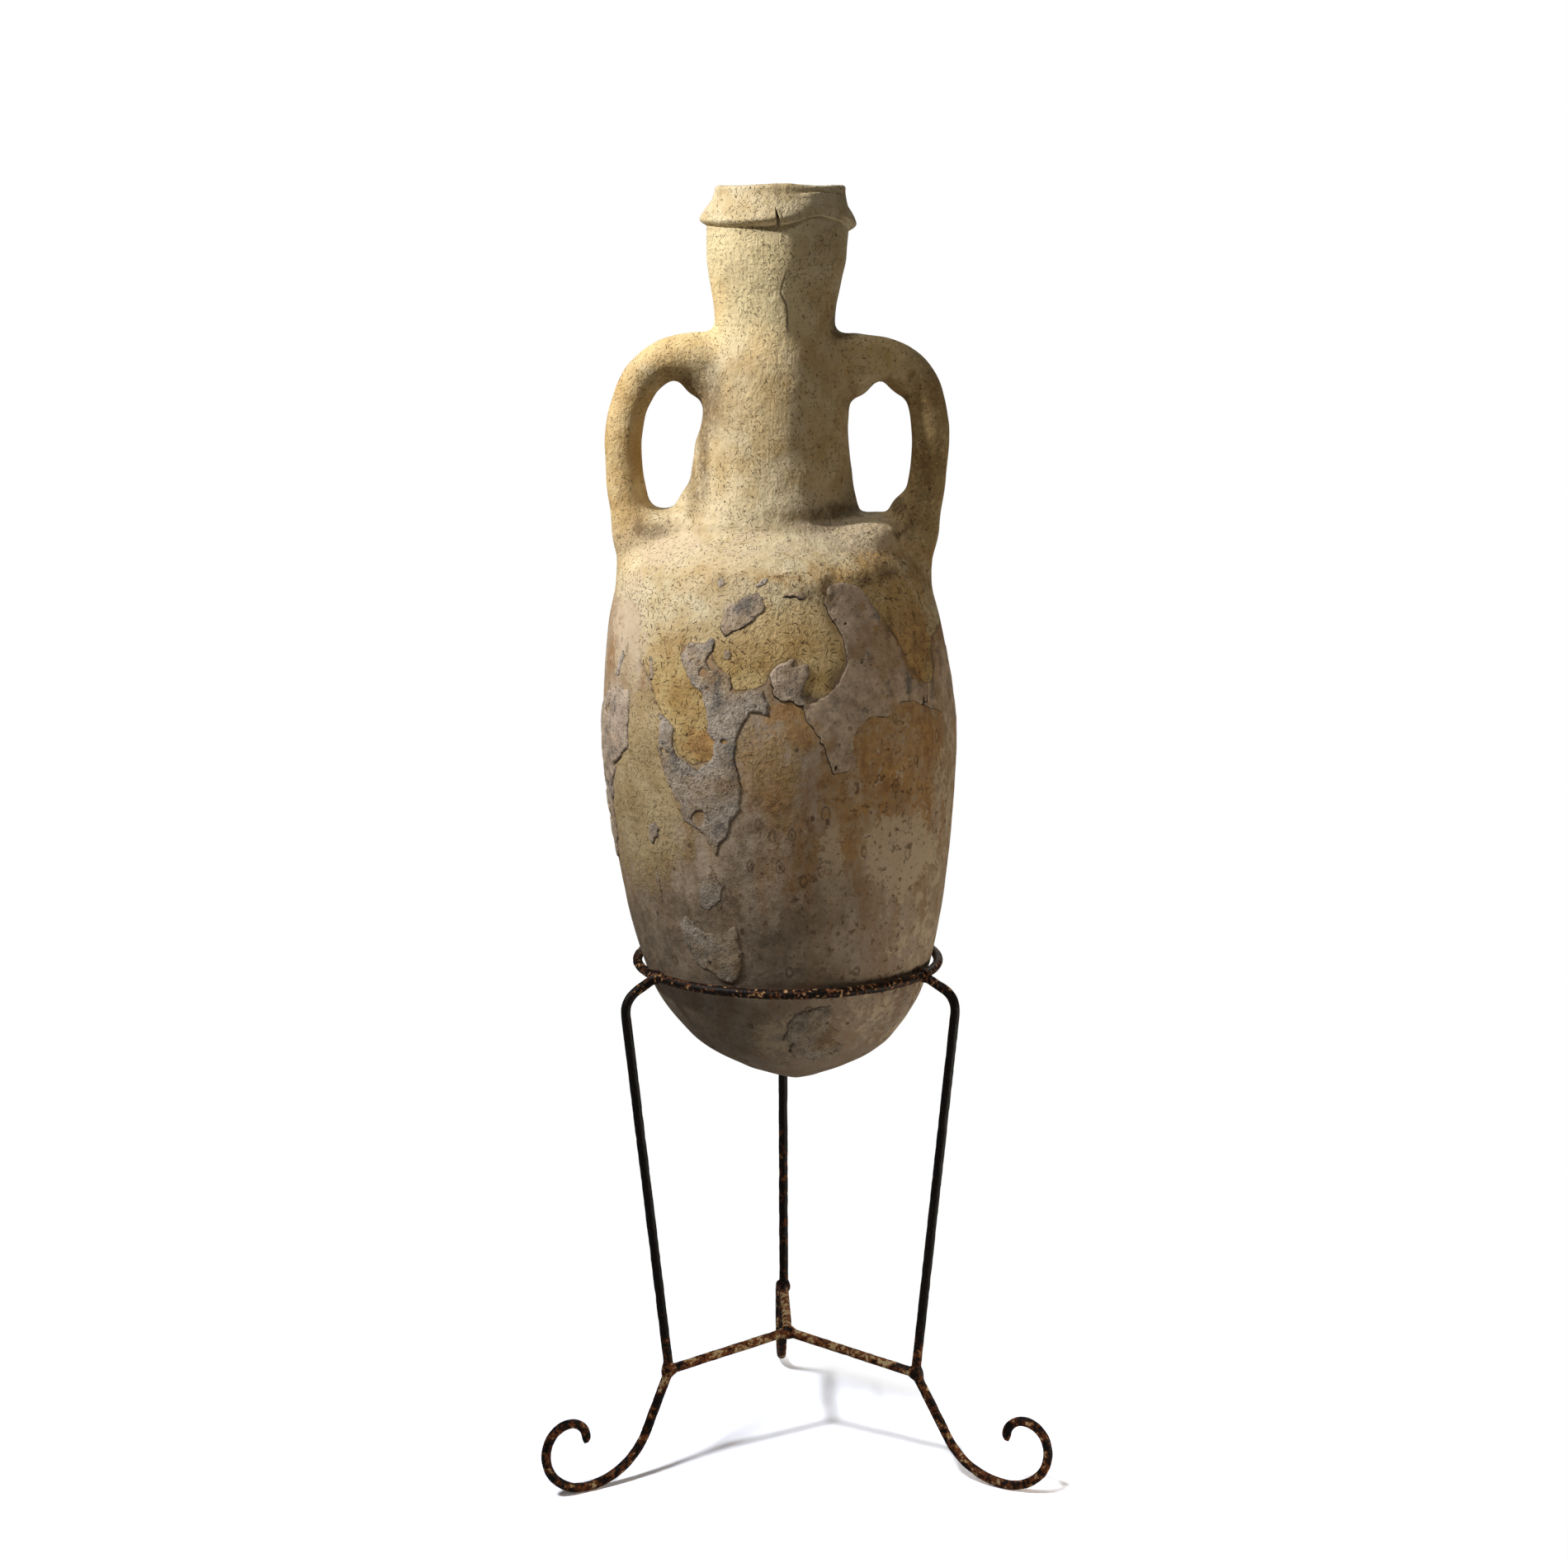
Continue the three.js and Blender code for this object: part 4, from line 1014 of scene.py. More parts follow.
FLAKES = {
    # Thickness in mm, how thin and smooth the sheet is from 0 to 1, and the outline
    "forked": (1.8, 0.0, [
        (335, 385), (370, 350), (410, 355), (430, 332), (442, 350), (428, 378), (410, 400), (422, 428),
        (460, 438), (482, 448), (488, 490), (520, 502), (560, 486), (590, 492), (603, 530), (605, 572),
        (570, 560), (542, 562), (530, 590), (503, 640), (497, 690), (515, 745), (520, 800), (512, 850),
        (490, 880), (468, 940), (445, 1003), (428, 975), (418, 930), (370, 897), (345, 880),
        (335, 840), (312, 800), (290, 745), (272, 700), (262, 640), (275, 590), (268, 562), (300, 580),
        (318, 610), (310, 640), (318, 680), (350, 705), (385, 738), (420, 720), (438, 690), (440, 640),
        (415, 615), (415, 560), (400, 500), (370, 470), (350, 440), (340, 410),
    ]),
    "striped": (1.1, 0.4, [
        (470, 250), (500, 225), (540, 200), (570, 195), (588, 215), (590, 245), (565, 285), (530, 305),
        (495, 320), (470, 335), (465, 300),
    ]),
    "middle": (1.8, 0.5, [
        (610, 425), (640, 405), (680, 400), (725, 415), (728, 440), (710, 470), (705, 510), (728, 532),
        (712, 552), (690, 540), (665, 525), (640, 520), (620, 510), (608, 480), (605, 450),
    ]),
    "diagonal": (0.6, 1.0, [
        (790, 180), (830, 165), (880, 178), (905, 213), (932, 262), (962, 302), (1000, 352),
        (1010, 400), (1035, 452), (1062, 472), (1097, 466), (1106, 400), (1100, 345), (1125, 330),
        (1150, 380), (1165, 440), (1182, 560), (1186, 640), (1180, 690), (1152, 682), (1143, 610),
        (1132, 562), (1092, 545), (1040, 522), (1002, 530), (975, 565), (938, 572), (902, 580),
        (876, 610), (862, 650), (858, 700), (842, 735), (800, 756), (788, 715), (775, 670), (750, 630),
        (722, 588), (700, 548), (716, 528), (762, 520), (800, 490), (822, 468), (836, 430), (833, 370),
        (815, 310), (790, 272), (773, 232),
    ]),
    "edge": (2.4, 0.4, [
        (118, 490), (150, 480), (180, 488), (187, 520), (183, 580), (180, 650), (160, 690), (140, 715),
        (133, 760), (135, 830), (145, 900), (150, 960), (148, 1000), (138, 960), (128, 880),
        (118, 800), (108, 720), (98, 640), (100, 560),
    ]),
    "sliver": (1.3, 0.0, [(160, 370), (167, 385), (155, 420), (147, 450), (142, 440), (152, 400)]),
    "streak": (0.8, 1.0, [(240, 390), (252, 395), (255, 440), (252, 470), (243, 465), (240, 430)]),
    "speck_high": (0.9, 0.0, [(448, 160), (462, 152), (470, 172), (455, 180)]),
    "speck_low": (0.9, 0.0, [(468, 372), (486, 368), (490, 385), (478, 402), (468, 396)]),
    "speck_top": (0.9, 0.0, [(560, 165), (600, 148), (596, 168), (570, 182)]),
    "seam": (0.7, 1.0, [(640, 208), (670, 200), (712, 198), (716, 210), (700, 222), (680, 208)]),
    "chip": (1.6, 0.0, [
        (245, 900), (258, 888), (272, 905), (270, 930), (258, 960), (245, 955), (240, 925),
    ]),
    "crack": (0.9, 0.0, [
        (258, 1025), (268, 1040), (275, 1090), (288, 1130), (282, 1140), (268, 1100), (260, 1060),
    ]),
    "tail": (1.1, 0.0, [
        (405, 1060), (430, 1015), (450, 1050), (465, 1090), (462, 1130), (430, 1150), (400, 1140),
        (398, 1100),
    ]),
    "low": (1.9, 0.0, [
        (340, 1200), (355, 1170), (378, 1202), (410, 1224), (450, 1232), (482, 1218), (503, 1198),
        (510, 1240), (526, 1285), (526, 1330), (510, 1368), (485, 1378), (455, 1368), (430, 1345),
        (400, 1330), (375, 1310), (358, 1270), (350, 1235),
    ]),
    "toe": (1.4, 0.0, [
        (650, 1546), (659, 1502), (693, 1472), (746, 1455), (794, 1445), (807, 1476), (780, 1494),
        (812, 1525), (784, 1542), (829, 1563), (824, 1597), (780, 1591), (745, 1615), (707, 1595),
        (692, 1607), (667, 1580), (680, 1560),
    ]),
}
CRACK_SIDE = np.array([-3.0, 5.2])
BARE_SPOTS = [((405, 440), 16), ((392, 876), 18)]


def inside_distance(points, outline):
    """Distance of flat points inside a closed outline, negative outside."""
    corners = np.array(outline, float)
    nearest = np.full(len(points), np.inf)
    within = np.zeros(len(points), bool)
    for start, end in zip(corners, np.roll(corners, -1, 0)):
        run = end - start
        nearest = np.minimum(nearest, from_run(points, start, end)[0])
        above = (start[1] > points[:, 1]) != (end[1] > points[:, 1])
        level = start[0] + (points[:, 1] - start[1]) / (run[1] or 1e-9) * run[0]
        within ^= above & (points[:, 0] < level)
    return np.where(within, nearest, -nearest)


def seen_pixels(points, spin, flip):
    """Where points land on the crop with the jar turned by spin degrees, or mirrored as well."""
    spin = math.radians(spin)
    offset = points - (AXIS_X, AXIS_Y, 0)
    x = (offset[:, 0] * math.cos(spin) + offset[:, 1] * math.sin(spin)) * flip
    y = -offset[:, 0] * math.sin(spin) + offset[:, 1] * math.cos(spin)
    seen = np.stack([AXIS_X + x, AXIS_Y + y, points[:, 2]], 1)
    wander = [layered(points, (1.6, 0.017, shift), (1.0, 0.0065, shift + 1)) for shift in (11.0, 13.0)]
    flat = photo_pixels(seen) + np.stack(wander, 1) * MM / PIXEL
    return (flat - CROP_CORNER) * CROP_SCALE


def view_shares(points):
    """How much each view counts at points: 1 in its own part, running into the next one."""
    bearing = np.degrees(np.arctan2(points[:, 0] - AXIS_X, AXIS_Y - points[:, 1]))
    ragged = layered(points, (6, 0.03, 31.0), (3, 0.009, 33.0))
    front = np.clip((104 - np.abs(bearing) - ragged) / 8, 0, 1)
    right = np.clip((196 - bearing % 360 - ragged) / 8, 0, 1)
    return front, (1 - front) * right, (1 - front) * (1 - right)


# The photograph's own side, then the two sides that reuse it: turned by degrees, and mirrored
VIEWS = ((0, 1), (150, 1), (-118, -1))
print(len(FLAKES), "flakes with", sum(len(flake[2]) for flake in FLAKES.values()), "corners")

# %% [markdown]
# ## Skin, stains and painted shade
#
# The belly has two clays to show: a smooth thin skin, and the rough yellow clay with its straw slots where
# the skin has come off. The bare patches are outlined like the flakes. Broad stains, and some painted
# shade, are soft ovals. Both are painted on the jar's points as numbers, and the clay's material turns them
# into colour with ragged edges.

# %% Painted numbers
BARE_PATCH = [
    (20, 60), (95, 165), (185, 190), (212, 260), (208, 340), (222, 410), (240, 450), (262, 528),
    (277, 559), (308, 590), (312, 636), (331, 682), (377, 712), (430, 704), (442, 636), (423, 574),
    (408, 513), (385, 467), (362, 421), (339, 383), (354, 360), (385, 345), (415, 360), (438, 406),
    (484, 467), (499, 490), (545, 490), (591, 475), (607, 437), (629, 406), (675, 398), (725, 414),
    (725, 452), (706, 483), (721, 513), (752, 521), (798, 498), (825, 452), (832, 391), (821, 345),
    (798, 307), (779, 253), (760, 215), (771, 184), (798, 169), (836, 176), (890, 192), (928, 238),
    (966, 291), (997, 352), (1027, 421), (1050, 460), (1089, 467), (1100, 429), (1089, 360),
    (1096, 322), (1119, 291), (1127, 215), (1112, 146), (1096, 60), (800, -80), (400, -80),
]
STAINS_AND_SHADE = {
    # Middle in the photograph's pixels, half width, half height and strength
    "amber": [
        (1090, 775, 45, 65, 0.8), (962, 878, 46, 40, 0.65), (1085, 895, 70, 60, 0.7),
        (1040, 985, 60, 80, 0.6), (1000, 770, 70, 60, 0.24), (1012, 960, 34, 60, 0.6),
        (1115, 960, 24, 60, 0.6), (1075, 930, 50, 40, 0.7), (858, 905, 30, 26, 0.8),
        (930, 940, 50, 70, 0.6), (1075, 700, 60, 34, 0.6), (1000, 702, 110, 22, 0.45),
        (960, 1030, 50, 80, 0.5), (820, 760, 50, 60, 0.2), (1080, 680, 60, 34, 0.6),
    ],
    # Grey ash, and some ovals low and in the middle of the belly that are painted shade where the light
    # falls off
    "grey": [
        (800, 1120, 60, 70, 0.55), (880, 1120, 60, 60, 0.6), (930, 1170, 130, 40, 0.5),
        (870, 1250, 70, 60, 0.35), (1000, 1110, 60, 70, 0.4), (1000, 720, 30, 14, 0.6),
        (1020, 618, 44, 12, 0.55), (1124, 566, 10, 30, 0.6), (1118, 610, 12, 18, 0.5),
        (850, 600, 12, 10, 0.5), (1100, 800, 20, 40, 0.3), (775, 640, 6, 14, 0.6),
        (1075, 690, 30, 12, 0.5), (1004, 712, 10, 18, 0.7), (1012, 770, 9, 46, 0.6),
        (1014, 820, 12, 20, 0.6), (985, 845, 18, 8, 0.6), (905, 1010, 40, 80, 0.45),
        (880, 700, 30, 10, 0.4), (1040, 706, 14, 8, 0.6), (960, 1010, 36, 60, 0.4),
        (945, 1125, 50, 50, 0.55),
    ],
    "tawny": [
        (752, 540, 36, 130, 0.7), (1120, 540, 44, 130, 0.9), (800, 425, 60, 24, 0.7),
        (1090, 425, 60, 24, 0.8), (930, 480, 34, 80, 0.6), (1000, 470, 40, 120, 0.5),
        (880, 560, 60, 60, 0.3), (868, 362, 14, 34, 0.55), (985, 765, 70, 50, 0.7),
        (1060, 715, 70, 40, 0.6),
    ],
    # Partly real dirt, smudges and scabs, partly painted shade: in the corners between handles and neck, on
    # the right handle, which the neck shades, and down the middle of the neck
    "dirt_and_shade": [
        (853, 486, 14, 30, 0.9), (852, 540, 7, 50, 0.8), (838, 590, 8, 26, 0.5),
        (838, 462, 26, 10, 0.6), (1030, 480, 10, 20, 0.4), (1000, 622, 60, 8, 0.35),
        (930, 640, 90, 6, 0.35), (1098, 540, 7, 60, 0.6), (1112, 560, 9, 90, 0.35),
        (790, 642, 20, 8, 0.6), (1090, 612, 10, 10, 0.8), (1004, 722, 8, 24, 0.9),
        (1048, 700, 12, 8, 0.8), (1070, 692, 12, 10, 0.7), (1078, 762, 5, 16, 0.7),
        (1104, 640, 7, 22, 0.6), (1089, 648, 5, 4, 1.0), (1122, 540, 26, 120, 0.6),
        (905, 500, 36, 80, 0.18), (985, 500, 36, 80, 0.16), (860, 480, 14, 44, 0.7),
        (1118, 610, 10, 20, 0.5), (982, 722, 12, 8, 0.5),
    ],
    "buff": [
        (785, 950, 50, 110, 1.0), (765, 850, 20, 60, 0.5), (885, 880, 30, 50, 0.6),
        (935, 925, 40, 50, 0.5), (1060, 680, 80, 40, 0.5),
    ],
    "specks": [
        (1080, 1000, 70, 120, 1.0), (1010, 900, 60, 60, 0.6), (960, 1080, 70, 100, 0.8),
        (1060, 1160, 80, 70, 0.9), (900, 920, 60, 60, 0.5), (1110, 760, 30, 60, 0.6),
        (1090, 705, 60, 44, 0.9), (1000, 706, 100, 22, 1.0), (1090, 650, 40, 40, 0.5),
    ],
    "pale": [
        (1145, 1000, 20, 150, 0.5), (1105, 1045, 30, 70, 0.6), (1008, 1050, 22, 70, 0.55),
        (1115, 1150, 60, 70, 0.5), (765, 760, 22, 80, 0.7), (890, 1030, 50, 50, 0.3),
        (1090, 870, 12, 40, 0.4), (1060, 930, 10, 60, 0.35), (760, 1100, 20, 120, 0.4),
        (1060, 1230, 60, 40, 0.5), (955, 1255, 50, 30, 0.6), (1090, 1030, 50, 50, 0.75),
        (1080, 1125, 40, 50, 0.4), (1095, 905, 16, 50, 0.5), (1030, 650, 100, 26, 0.6),
        (800, 660, 70, 30, 0.6), (930, 660, 80, 24, 0.5),
    ],
}

# The gouge down the front of the neck, as (x, height) on the jar
GOUGE = np.array([
    (0.0128, 0.728), (0.0118, 0.74), (0.0102, 0.757), (0.0052, 0.768), (0.0076, 0.779), (0.0098, 0.79),
])
GOUGE_FADE = 12 * MM
SKIN_EDGE = 24 * MM
SKIN_TOP = 0.862


def stain_and_shade_at(flat, kind):
    """How strong one kind of painted oval is at places on the crop: a stain, and for some kinds painted
    shade as well.
    """
    pixels = flat / CROP_SCALE + CROP_CORNER
    value = np.zeros(len(pixels))
    for x, y, wide, tall, strength in STAINS_AND_SHADE[kind]:
        away = np.hypot((pixels[:, 0] - x) / wide, (pixels[:, 1] - y) / tall)
        value = np.maximum(value, strength * np.clip(1.6 - away, 0, 1))
    return value


def paint_numbers(points, spin, flip):
    """Every painted number at points of the jar, as read from the photograph."""
    flat = seen_pixels(points, spin, flip)
    under_skin = -inside_distance(flat, BARE_PATCH) / CROP_SCALE * PIXEL
    skin = np.clip(0.5 + np.minimum(under_skin, SKIN_TOP - points[:, 2]) / SKIN_EDGE, 0, 1)
    return {"skin": skin} | {kind: stain_and_shade_at(flat, kind) for kind in STAINS_AND_SHADE}


def paint_jar(piece):
    """Paints a piece with every number that the clay's finish reads."""
    spots = np.empty(len(piece.data.vertices) * 3, np.float32)
    piece.data.vertices.foreach_get("co", spots)
    spots = spots.reshape(-1, 3).astype(float)
    looks = [paint_numbers(spots, spin, flip) for spin, flip in VIEWS]
    on_belly = np.clip((0.9 - spots[:, 2]) / 0.03, 0, 1)
    shares = np.stack(view_shares(spots)) * on_belly
    shares[0] += 1 - on_belly
    for kind in looks[0]:
        paint(piece, kind, sum(share * look[kind] for share, look in zip(shares, looks)))
    x, y, height = own_place(spots).T
    paint(piece, "beside_gouge", (x - np.interp(height, GOUGE[:, 1], GOUGE[:, 0])) / MM)
    span = np.clip(np.minimum(height - GOUGE[0, 1], GOUGE[-1, 1] - height) / GOUGE_FADE, 0, 1)
    paint(piece, "gouge", span * (y < 0))
    print("painted", sorted(looks[0]), "on", len(spots), "points")


paint_jar(jar)

# %% [markdown]
# ## The crust itself
#
# The crust is a thin shell of its own, so that its rims cast real shadows. Its underside is sunk in
# the clay, its top follows the clay at the crust's thickness, and a wall closes the two all round.

# %% Thickness of the crust
CRUST_STEP = 1.6 * MM
CRUST_LOW, CRUST_HIGH = TOE_Z + 0.022, TOE_Z + 0.528
NO_CRUST, LEAST_RIM, MOST_RIM = -3.0, -4.0, 6.0

# Lumps, as height in mm, size and shift, that make the rims ragged, the top uneven and the holes
RIM_LUMPS = ((1.6, 0.016, 1.7), (1.3, 0.0052, 5.2), (0.7, 0.003, 8.4))
TOP_LUMPS = ((0.25, 0.03, 6.3), (0.25, 0.012, 3.1), (0.16, 0.005, 7.7))
HOLE_LUMPS = ((1, 0.012, 21.0), (0.6, 0.0048, 23.0))
HOLES_FROM = 0.95
turns = np.arange(0, 2 * math.pi, CRUST_STEP / BELLY_RADIUS)
levels = np.arange(CRUST_LOW, CRUST_HIGH, CRUST_STEP)


def belly_surface(turn, level):
    """The clay's surface straight out from the axis at these turns and levels."""
    reach = np.interp(level - TOE_Z, belly_curve[:, 1], belly_curve[:, 0])
    for _ in range(5):
        middle = AXIS_X + lean_at(level - TOE_Z)
        spots = np.stack([middle + reach * np.sin(turn), AXIS_Y - reach * np.cos(turn), level], 1)
        reach = reach - 0.8 * jar_field(spots)
    return spots


def crust_look(points, spin, flip, share):
    """Rows of thickness, thinness, distance from the rim and crack, in one view and its share."""
    flat = seen_pixels(points, spin, flip)
    turned = np.arctan2(points[:, 0] - AXIS_X, AXIS_Y - points[:, 1]) - math.radians(spin)
    stretch = 1 / np.clip(np.abs(np.cos(turned)), 0.28, 1)
    look = np.tile([[NO_CRUST], [0.0], [LEAST_RIM], [0.0]], len(points))
    for thickness, thinness, outline in FLAKES.values():
        low, high = np.min(outline, 0) - 12, np.max(outline, 0) + 12
        close = (share > 0) & ((flat > low) & (flat < high)).all(1)
        if not close.any():
            continue
        reach = inside_distance(flat[close], outline)
        facing_down = np.clip((reach - inside_distance(flat[close] + CRACK_SIDE, outline)) / 6, 0, 1)
        facing_down *= np.clip(2.9 - stretch[close], 0, 1)
        for middle, size in BARE_SPOTS:
            reach = np.minimum(reach, np.hypot(*(flat[close] - middle).T) - size)
        reach = reach / CROP_SCALE * PIXEL / MM * stretch[close]
        spots = points[close]
        reach += layered(spots, *RIM_LUMPS)
        reach = np.minimum(reach, (HOLES_FROM - layered(spots, *HOLE_LUMPS)) * 6)
        reach = np.minimum(reach, (share[close] - 0.5) * 12)
        top = thickness * (0.7 + layered(spots, *TOP_LUMPS))
        value = np.minimum(reach * (2.0 - 1.4 * thinness), top)
        cracked = facing_down * (thinness > 0)
        here = [value, thinness + 0 * value, np.clip(reach, LEAST_RIM, MOST_RIM), cracked]
        look[:, close] = np.where(value > look[0, close], here, look[:, close])
    return look


turn_grid, level_grid = np.meshgrid(turns, levels, indexing="ij")
skin = belly_surface(turn_grid.ravel(), level_grid.ravel())
looks, dirt_and_shade = [], 0
for view, share in zip(VIEWS, view_shares(skin)):
    looks.append(crust_look(skin, *view, share))
    dirt_and_shade = dirt_and_shade + share * stain_and_shade_at(seen_pixels(skin, *view), "dirt_and_shade")
thick, thin, rim_distance, crack = np.choose(np.argmax([look[0] for look in looks], 0), looks)
thick = np.maximum(thick, -0.9).reshape(turn_grid.shape)
corners = [thick, np.roll(thick, -1, 0), np.roll(np.roll(thick, -1, 0), -1, 1), np.roll(thick, -1, 1)]
kept = (np.max(corners, 0) > -0.6)[:, :-1]
print("crust covers", round(float((thick > 0).mean()), 3), "of the belly")

# %% Shell of the crust
SUNK = 1.6 * MM
number = np.arange(thick.size).reshape(thick.shape)
i, j = np.nonzero(kept)
after = (i + 1) % len(turns)
top_faces = np.stack([number[i, j], number[after, j], number[after, j + 1], number[i, j + 1]], 1)
outward = field_slope(skin, jar_field, 1.0 * MM)
outward /= np.linalg.norm(outward, axis=1)[:, None]
top_points = skin + outward * thick.ravel()[:, None] * MM
low_points = skin - outward * SUNK
edges = np.concatenate([top_faces[:, [k, (k + 1) % 4]] for k in range(4)])
size = thick.size
key, back_key = edges @ (size, 1), edges @ (1, size)
rim = edges[~np.isin(key, back_key)]
walls = np.stack([rim[:, 1], rim[:, 0], rim[:, 0] + size, rim[:, 1] + size], 1)
crust_faces = np.concatenate([top_faces, top_faces[:, ::-1] + size, walls])
used = np.unique(crust_faces)
renumber = np.zeros(2 * size, int)
renumber[used] = np.arange(len(used))
crust_points = np.concatenate([top_points, low_points])[used]
crust = mesh_object("lime_crust", crust_points, renumber[crust_faces])
for name, values in (("thin", thin), ("rim", rim_distance), ("crack", crack), ("dirt_and_shade", dirt_and_shade)):
    paint(crust, name, np.tile(values, 2)[used])
dress(crust, crust_finish, "amphora", "belly_clay")

# %% [markdown]
# ## The stand's bars
#
# Every bar of the stand follows a path, so one Geometry Nodes tree makes them all: it takes the
# path, sweeps a round section along it, and dents the skin a little, as hammered and rusted bar
# is. Only the path, the seed and the sizes change from bar to bar.


# %% Forged bar tree
DENT_OUT, SKIN_IN = 0.1 * MM, 0.38 * MM


def make_bar_tree():
    """A node tree that sweeps a dented round bar along a path of edges."""
    group = bpy.data.node_groups.new("forged_bar", "GeometryNodeTree")
    face = group.interface
    face.new_socket("Geometry", in_out="INPUT", socket_type="NodeSocketGeometry")
    for name, kind, value in (
        ("Spacing", "NodeSocketFloat", 2.5 * MM), ("Sides", "NodeSocketInt", 18),
        ("Dent Depth", "NodeSocketFloat", 0.9 * MM), ("Dent Scale", "NodeSocketFloat", 85.0),
        ("Seed", "NodeSocketFloat", 0.0),
    ):
        face.new_socket(name, in_out="INPUT", socket_type=kind).default_value = value
    face.new_socket("Finish", in_out="INPUT", socket_type="NodeSocketMaterial")
    face.new_socket("Geometry", in_out="OUTPUT", socket_type="NodeSocketGeometry")
    tree = Tree(group)
    given = tree.node("NodeGroupInput")
    size = tree.node("GeometryNodeInputNamedAttribute", {"data_type": "FLOAT"}, {"Name": "bar_radius"})
    path = tree.node("GeometryNodeMeshToCurve", None, {"Mesh": given})
    even = tree.node("GeometryNodeResampleCurve", {"mode": "LENGTH"}, {
        "Curve": path, "Length": given.out("Spacing"),
    })
    section = tree.node("GeometryNodeCurvePrimitiveCircle", {"mode": "RADIUS"}, {
        "Resolution": given.out("Sides"), "Radius": 1.0,
    })
    skin = tree.node("GeometryNodeCurveToMesh", None, {
        "Curve": even, "Profile Curve": section, "Scale": size, "Fill Caps": True,
    })
    dents = tree.node("ShaderNodeTexNoise", {"noise_dimensions": "4D"}, {
        "Vector": tree.node("GeometryNodeInputPosition"), "Scale": given.out("Dent Scale"),
        "W": given.out("Seed"), "Detail": 2.0,
    })
    # Dents go mostly inwards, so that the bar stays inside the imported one
    push = ((dents - 0.5) * 2 * given.out("Dent Depth")).least(DENT_OUT) - SKIN_IN
    offset = tree.vector("SCALE", tree.node("GeometryNodeInputNormal"), push)
    moved = tree.node("GeometryNodeSetPosition", None, {"Geometry": skin, "Offset": offset})
    smooth = tree.node("GeometryNodeSetShadeSmooth", None, {"Geometry": moved})
    real = tree.node("GeometryNodeRealizeInstances", None, {"Geometry": smooth})
    done = tree.node("GeometryNodeSetMaterial", None, {
        "Geometry": real, "Material": given.out("Finish"),
    })
    tree.node("NodeGroupOutput", None, {"Geometry": done})
    return group


bar_tree = make_bar_tree()
bar_inputs = {
    item.name: item.identifier for item in bar_tree.interface.items_tree if item.in_out == "INPUT"
}
print("bar tree has inputs", sorted(bar_inputs))

# %% [markdown]
# ## The paths of the legs
#
# Each leg is one bar, bent in its own upright plane: out from the ring, over a tight shoulder, down
# to a knee, and in one sweep to the floor, where it winds up in a scroll. The scroll is a spiral
# whose radius shrinks by the same share in each quarter turn, as a smith winds it.

# %% Paths of the legs
BAR = 5 * MM
RING_RADIUS = 147 * MM
RING_LEVEL = (ring_low.z + ring_high.z) / 2

# Places in a leg's plane are (distance from the axis, height)
SHOULDER = np.array([183 * MM, RING_LEVEL - 18 * MM])
HUB = np.array([0, 118 * MM])
SHOULDER_BEND, KNEE_BEND = 24 * MM, 16 * MM
FLOOR_PRESS = 0.6 * MM
SWEEP = 73 * MM
SCROLL = 51 * MM
SCROLL_SHRINK = 0.65
SCROLL_END = math.radians(303)
TURN = 1.64
LEGS = {
    "left": {"bearing": 210 + TURN, "knee": np.array([136.5, 105]) * MM, "reach": 229 * MM, "seed": 3.0},
    "right": {"bearing": 330 + TURN, "knee": np.array([142.5, 100]) * MM, "reach": 241 * MM, "seed": 8.0},
    "rear": {"bearing": 90 + TURN, "knee": np.array([140, 116]) * MM, "reach": 252 * MM, "seed": 13.0},
}


def corner_curve(start, corner, end, bend, steps=9):
    """Points of a rounded corner between two straight runs."""
    arriving = (corner - start) / np.linalg.norm(corner - start)
    leaving = (end - corner) / np.linalg.norm(end - corner)
    cut = bend * math.tan(math.acos(np.clip(arriving @ leaving, -1, 1)) / 2)
    t = np.linspace(0, 1, steps)[:, None]
    a, c = corner - arriving * cut, corner + leaving * cut
    return (1 - t) ** 2 * a + 2 * t * (1 - t) * corner + t**2 * c


def scroll_point(heading, reach):
    """The foot: an arc down to the floor, then a spiral whose radius shrinks as it turns."""
    floor = BAR - FLOOR_PRESS
    if heading < 0:
        return np.array([reach + SWEEP * math.sin(heading), floor + SWEEP * (1 - math.cos(heading))])
    decay = math.log(SCROLL_SHRINK) / (math.pi / 2)
    twist = math.atan2(1, decay)

    def swirl(angle):
        size = SCROLL * math.exp(decay * angle) / math.hypot(decay, 1)
        return size * np.array([math.cos(angle - twist), math.sin(angle - twist)])

    return swirl(heading) - swirl(0) + (reach, floor)


def sweep_start(knee, reach):
    """Heading at which a straight run from the knee meets the sweep smoothly."""
    headings = np.linspace(-math.pi / 2, -math.pi / 12, 400)

    def side(heading):
        run = scroll_point(heading, reach) - knee
        return math.cos(heading) * run[1] - math.sin(heading) * run[0]

    sides = np.array([side(h) for h in headings])
    return headings[np.argmin(np.abs(sides))]


def leg_path(leg):
    """The leg's path in its own plane, as points of (distance from the axis, height)."""
    knee, reach = leg["knee"], leg["reach"]
    ring = np.array([RING_RADIUS, RING_LEVEL])
    heading = sweep_start(knee, reach)
    foot = [scroll_point(h, reach) for h in np.linspace(heading, SCROLL_END, 90)]
    shoulder = corner_curve(ring, SHOULDER, knee, SHOULDER_BEND)
    return np.vstack([ring, shoulder, corner_curve(SHOULDER, knee, foot[0], KNEE_BEND), foot])


def in_place(flat, bearing):
    """Turns points of a leg's plane to where that leg stands."""
    angle = math.radians(bearing)
    return np.stack([
        AXIS_X + flat[:, 0] * math.cos(angle), AXIS_Y + flat[:, 0] * math.sin(angle), flat[:, 1],
    ], 1)


for side, leg in LEGS.items():
    steps = np.linalg.norm(np.diff(leg_path(leg), axis=0), axis=1)
    print(side, "leg path length", round(float(steps.sum()), 3))

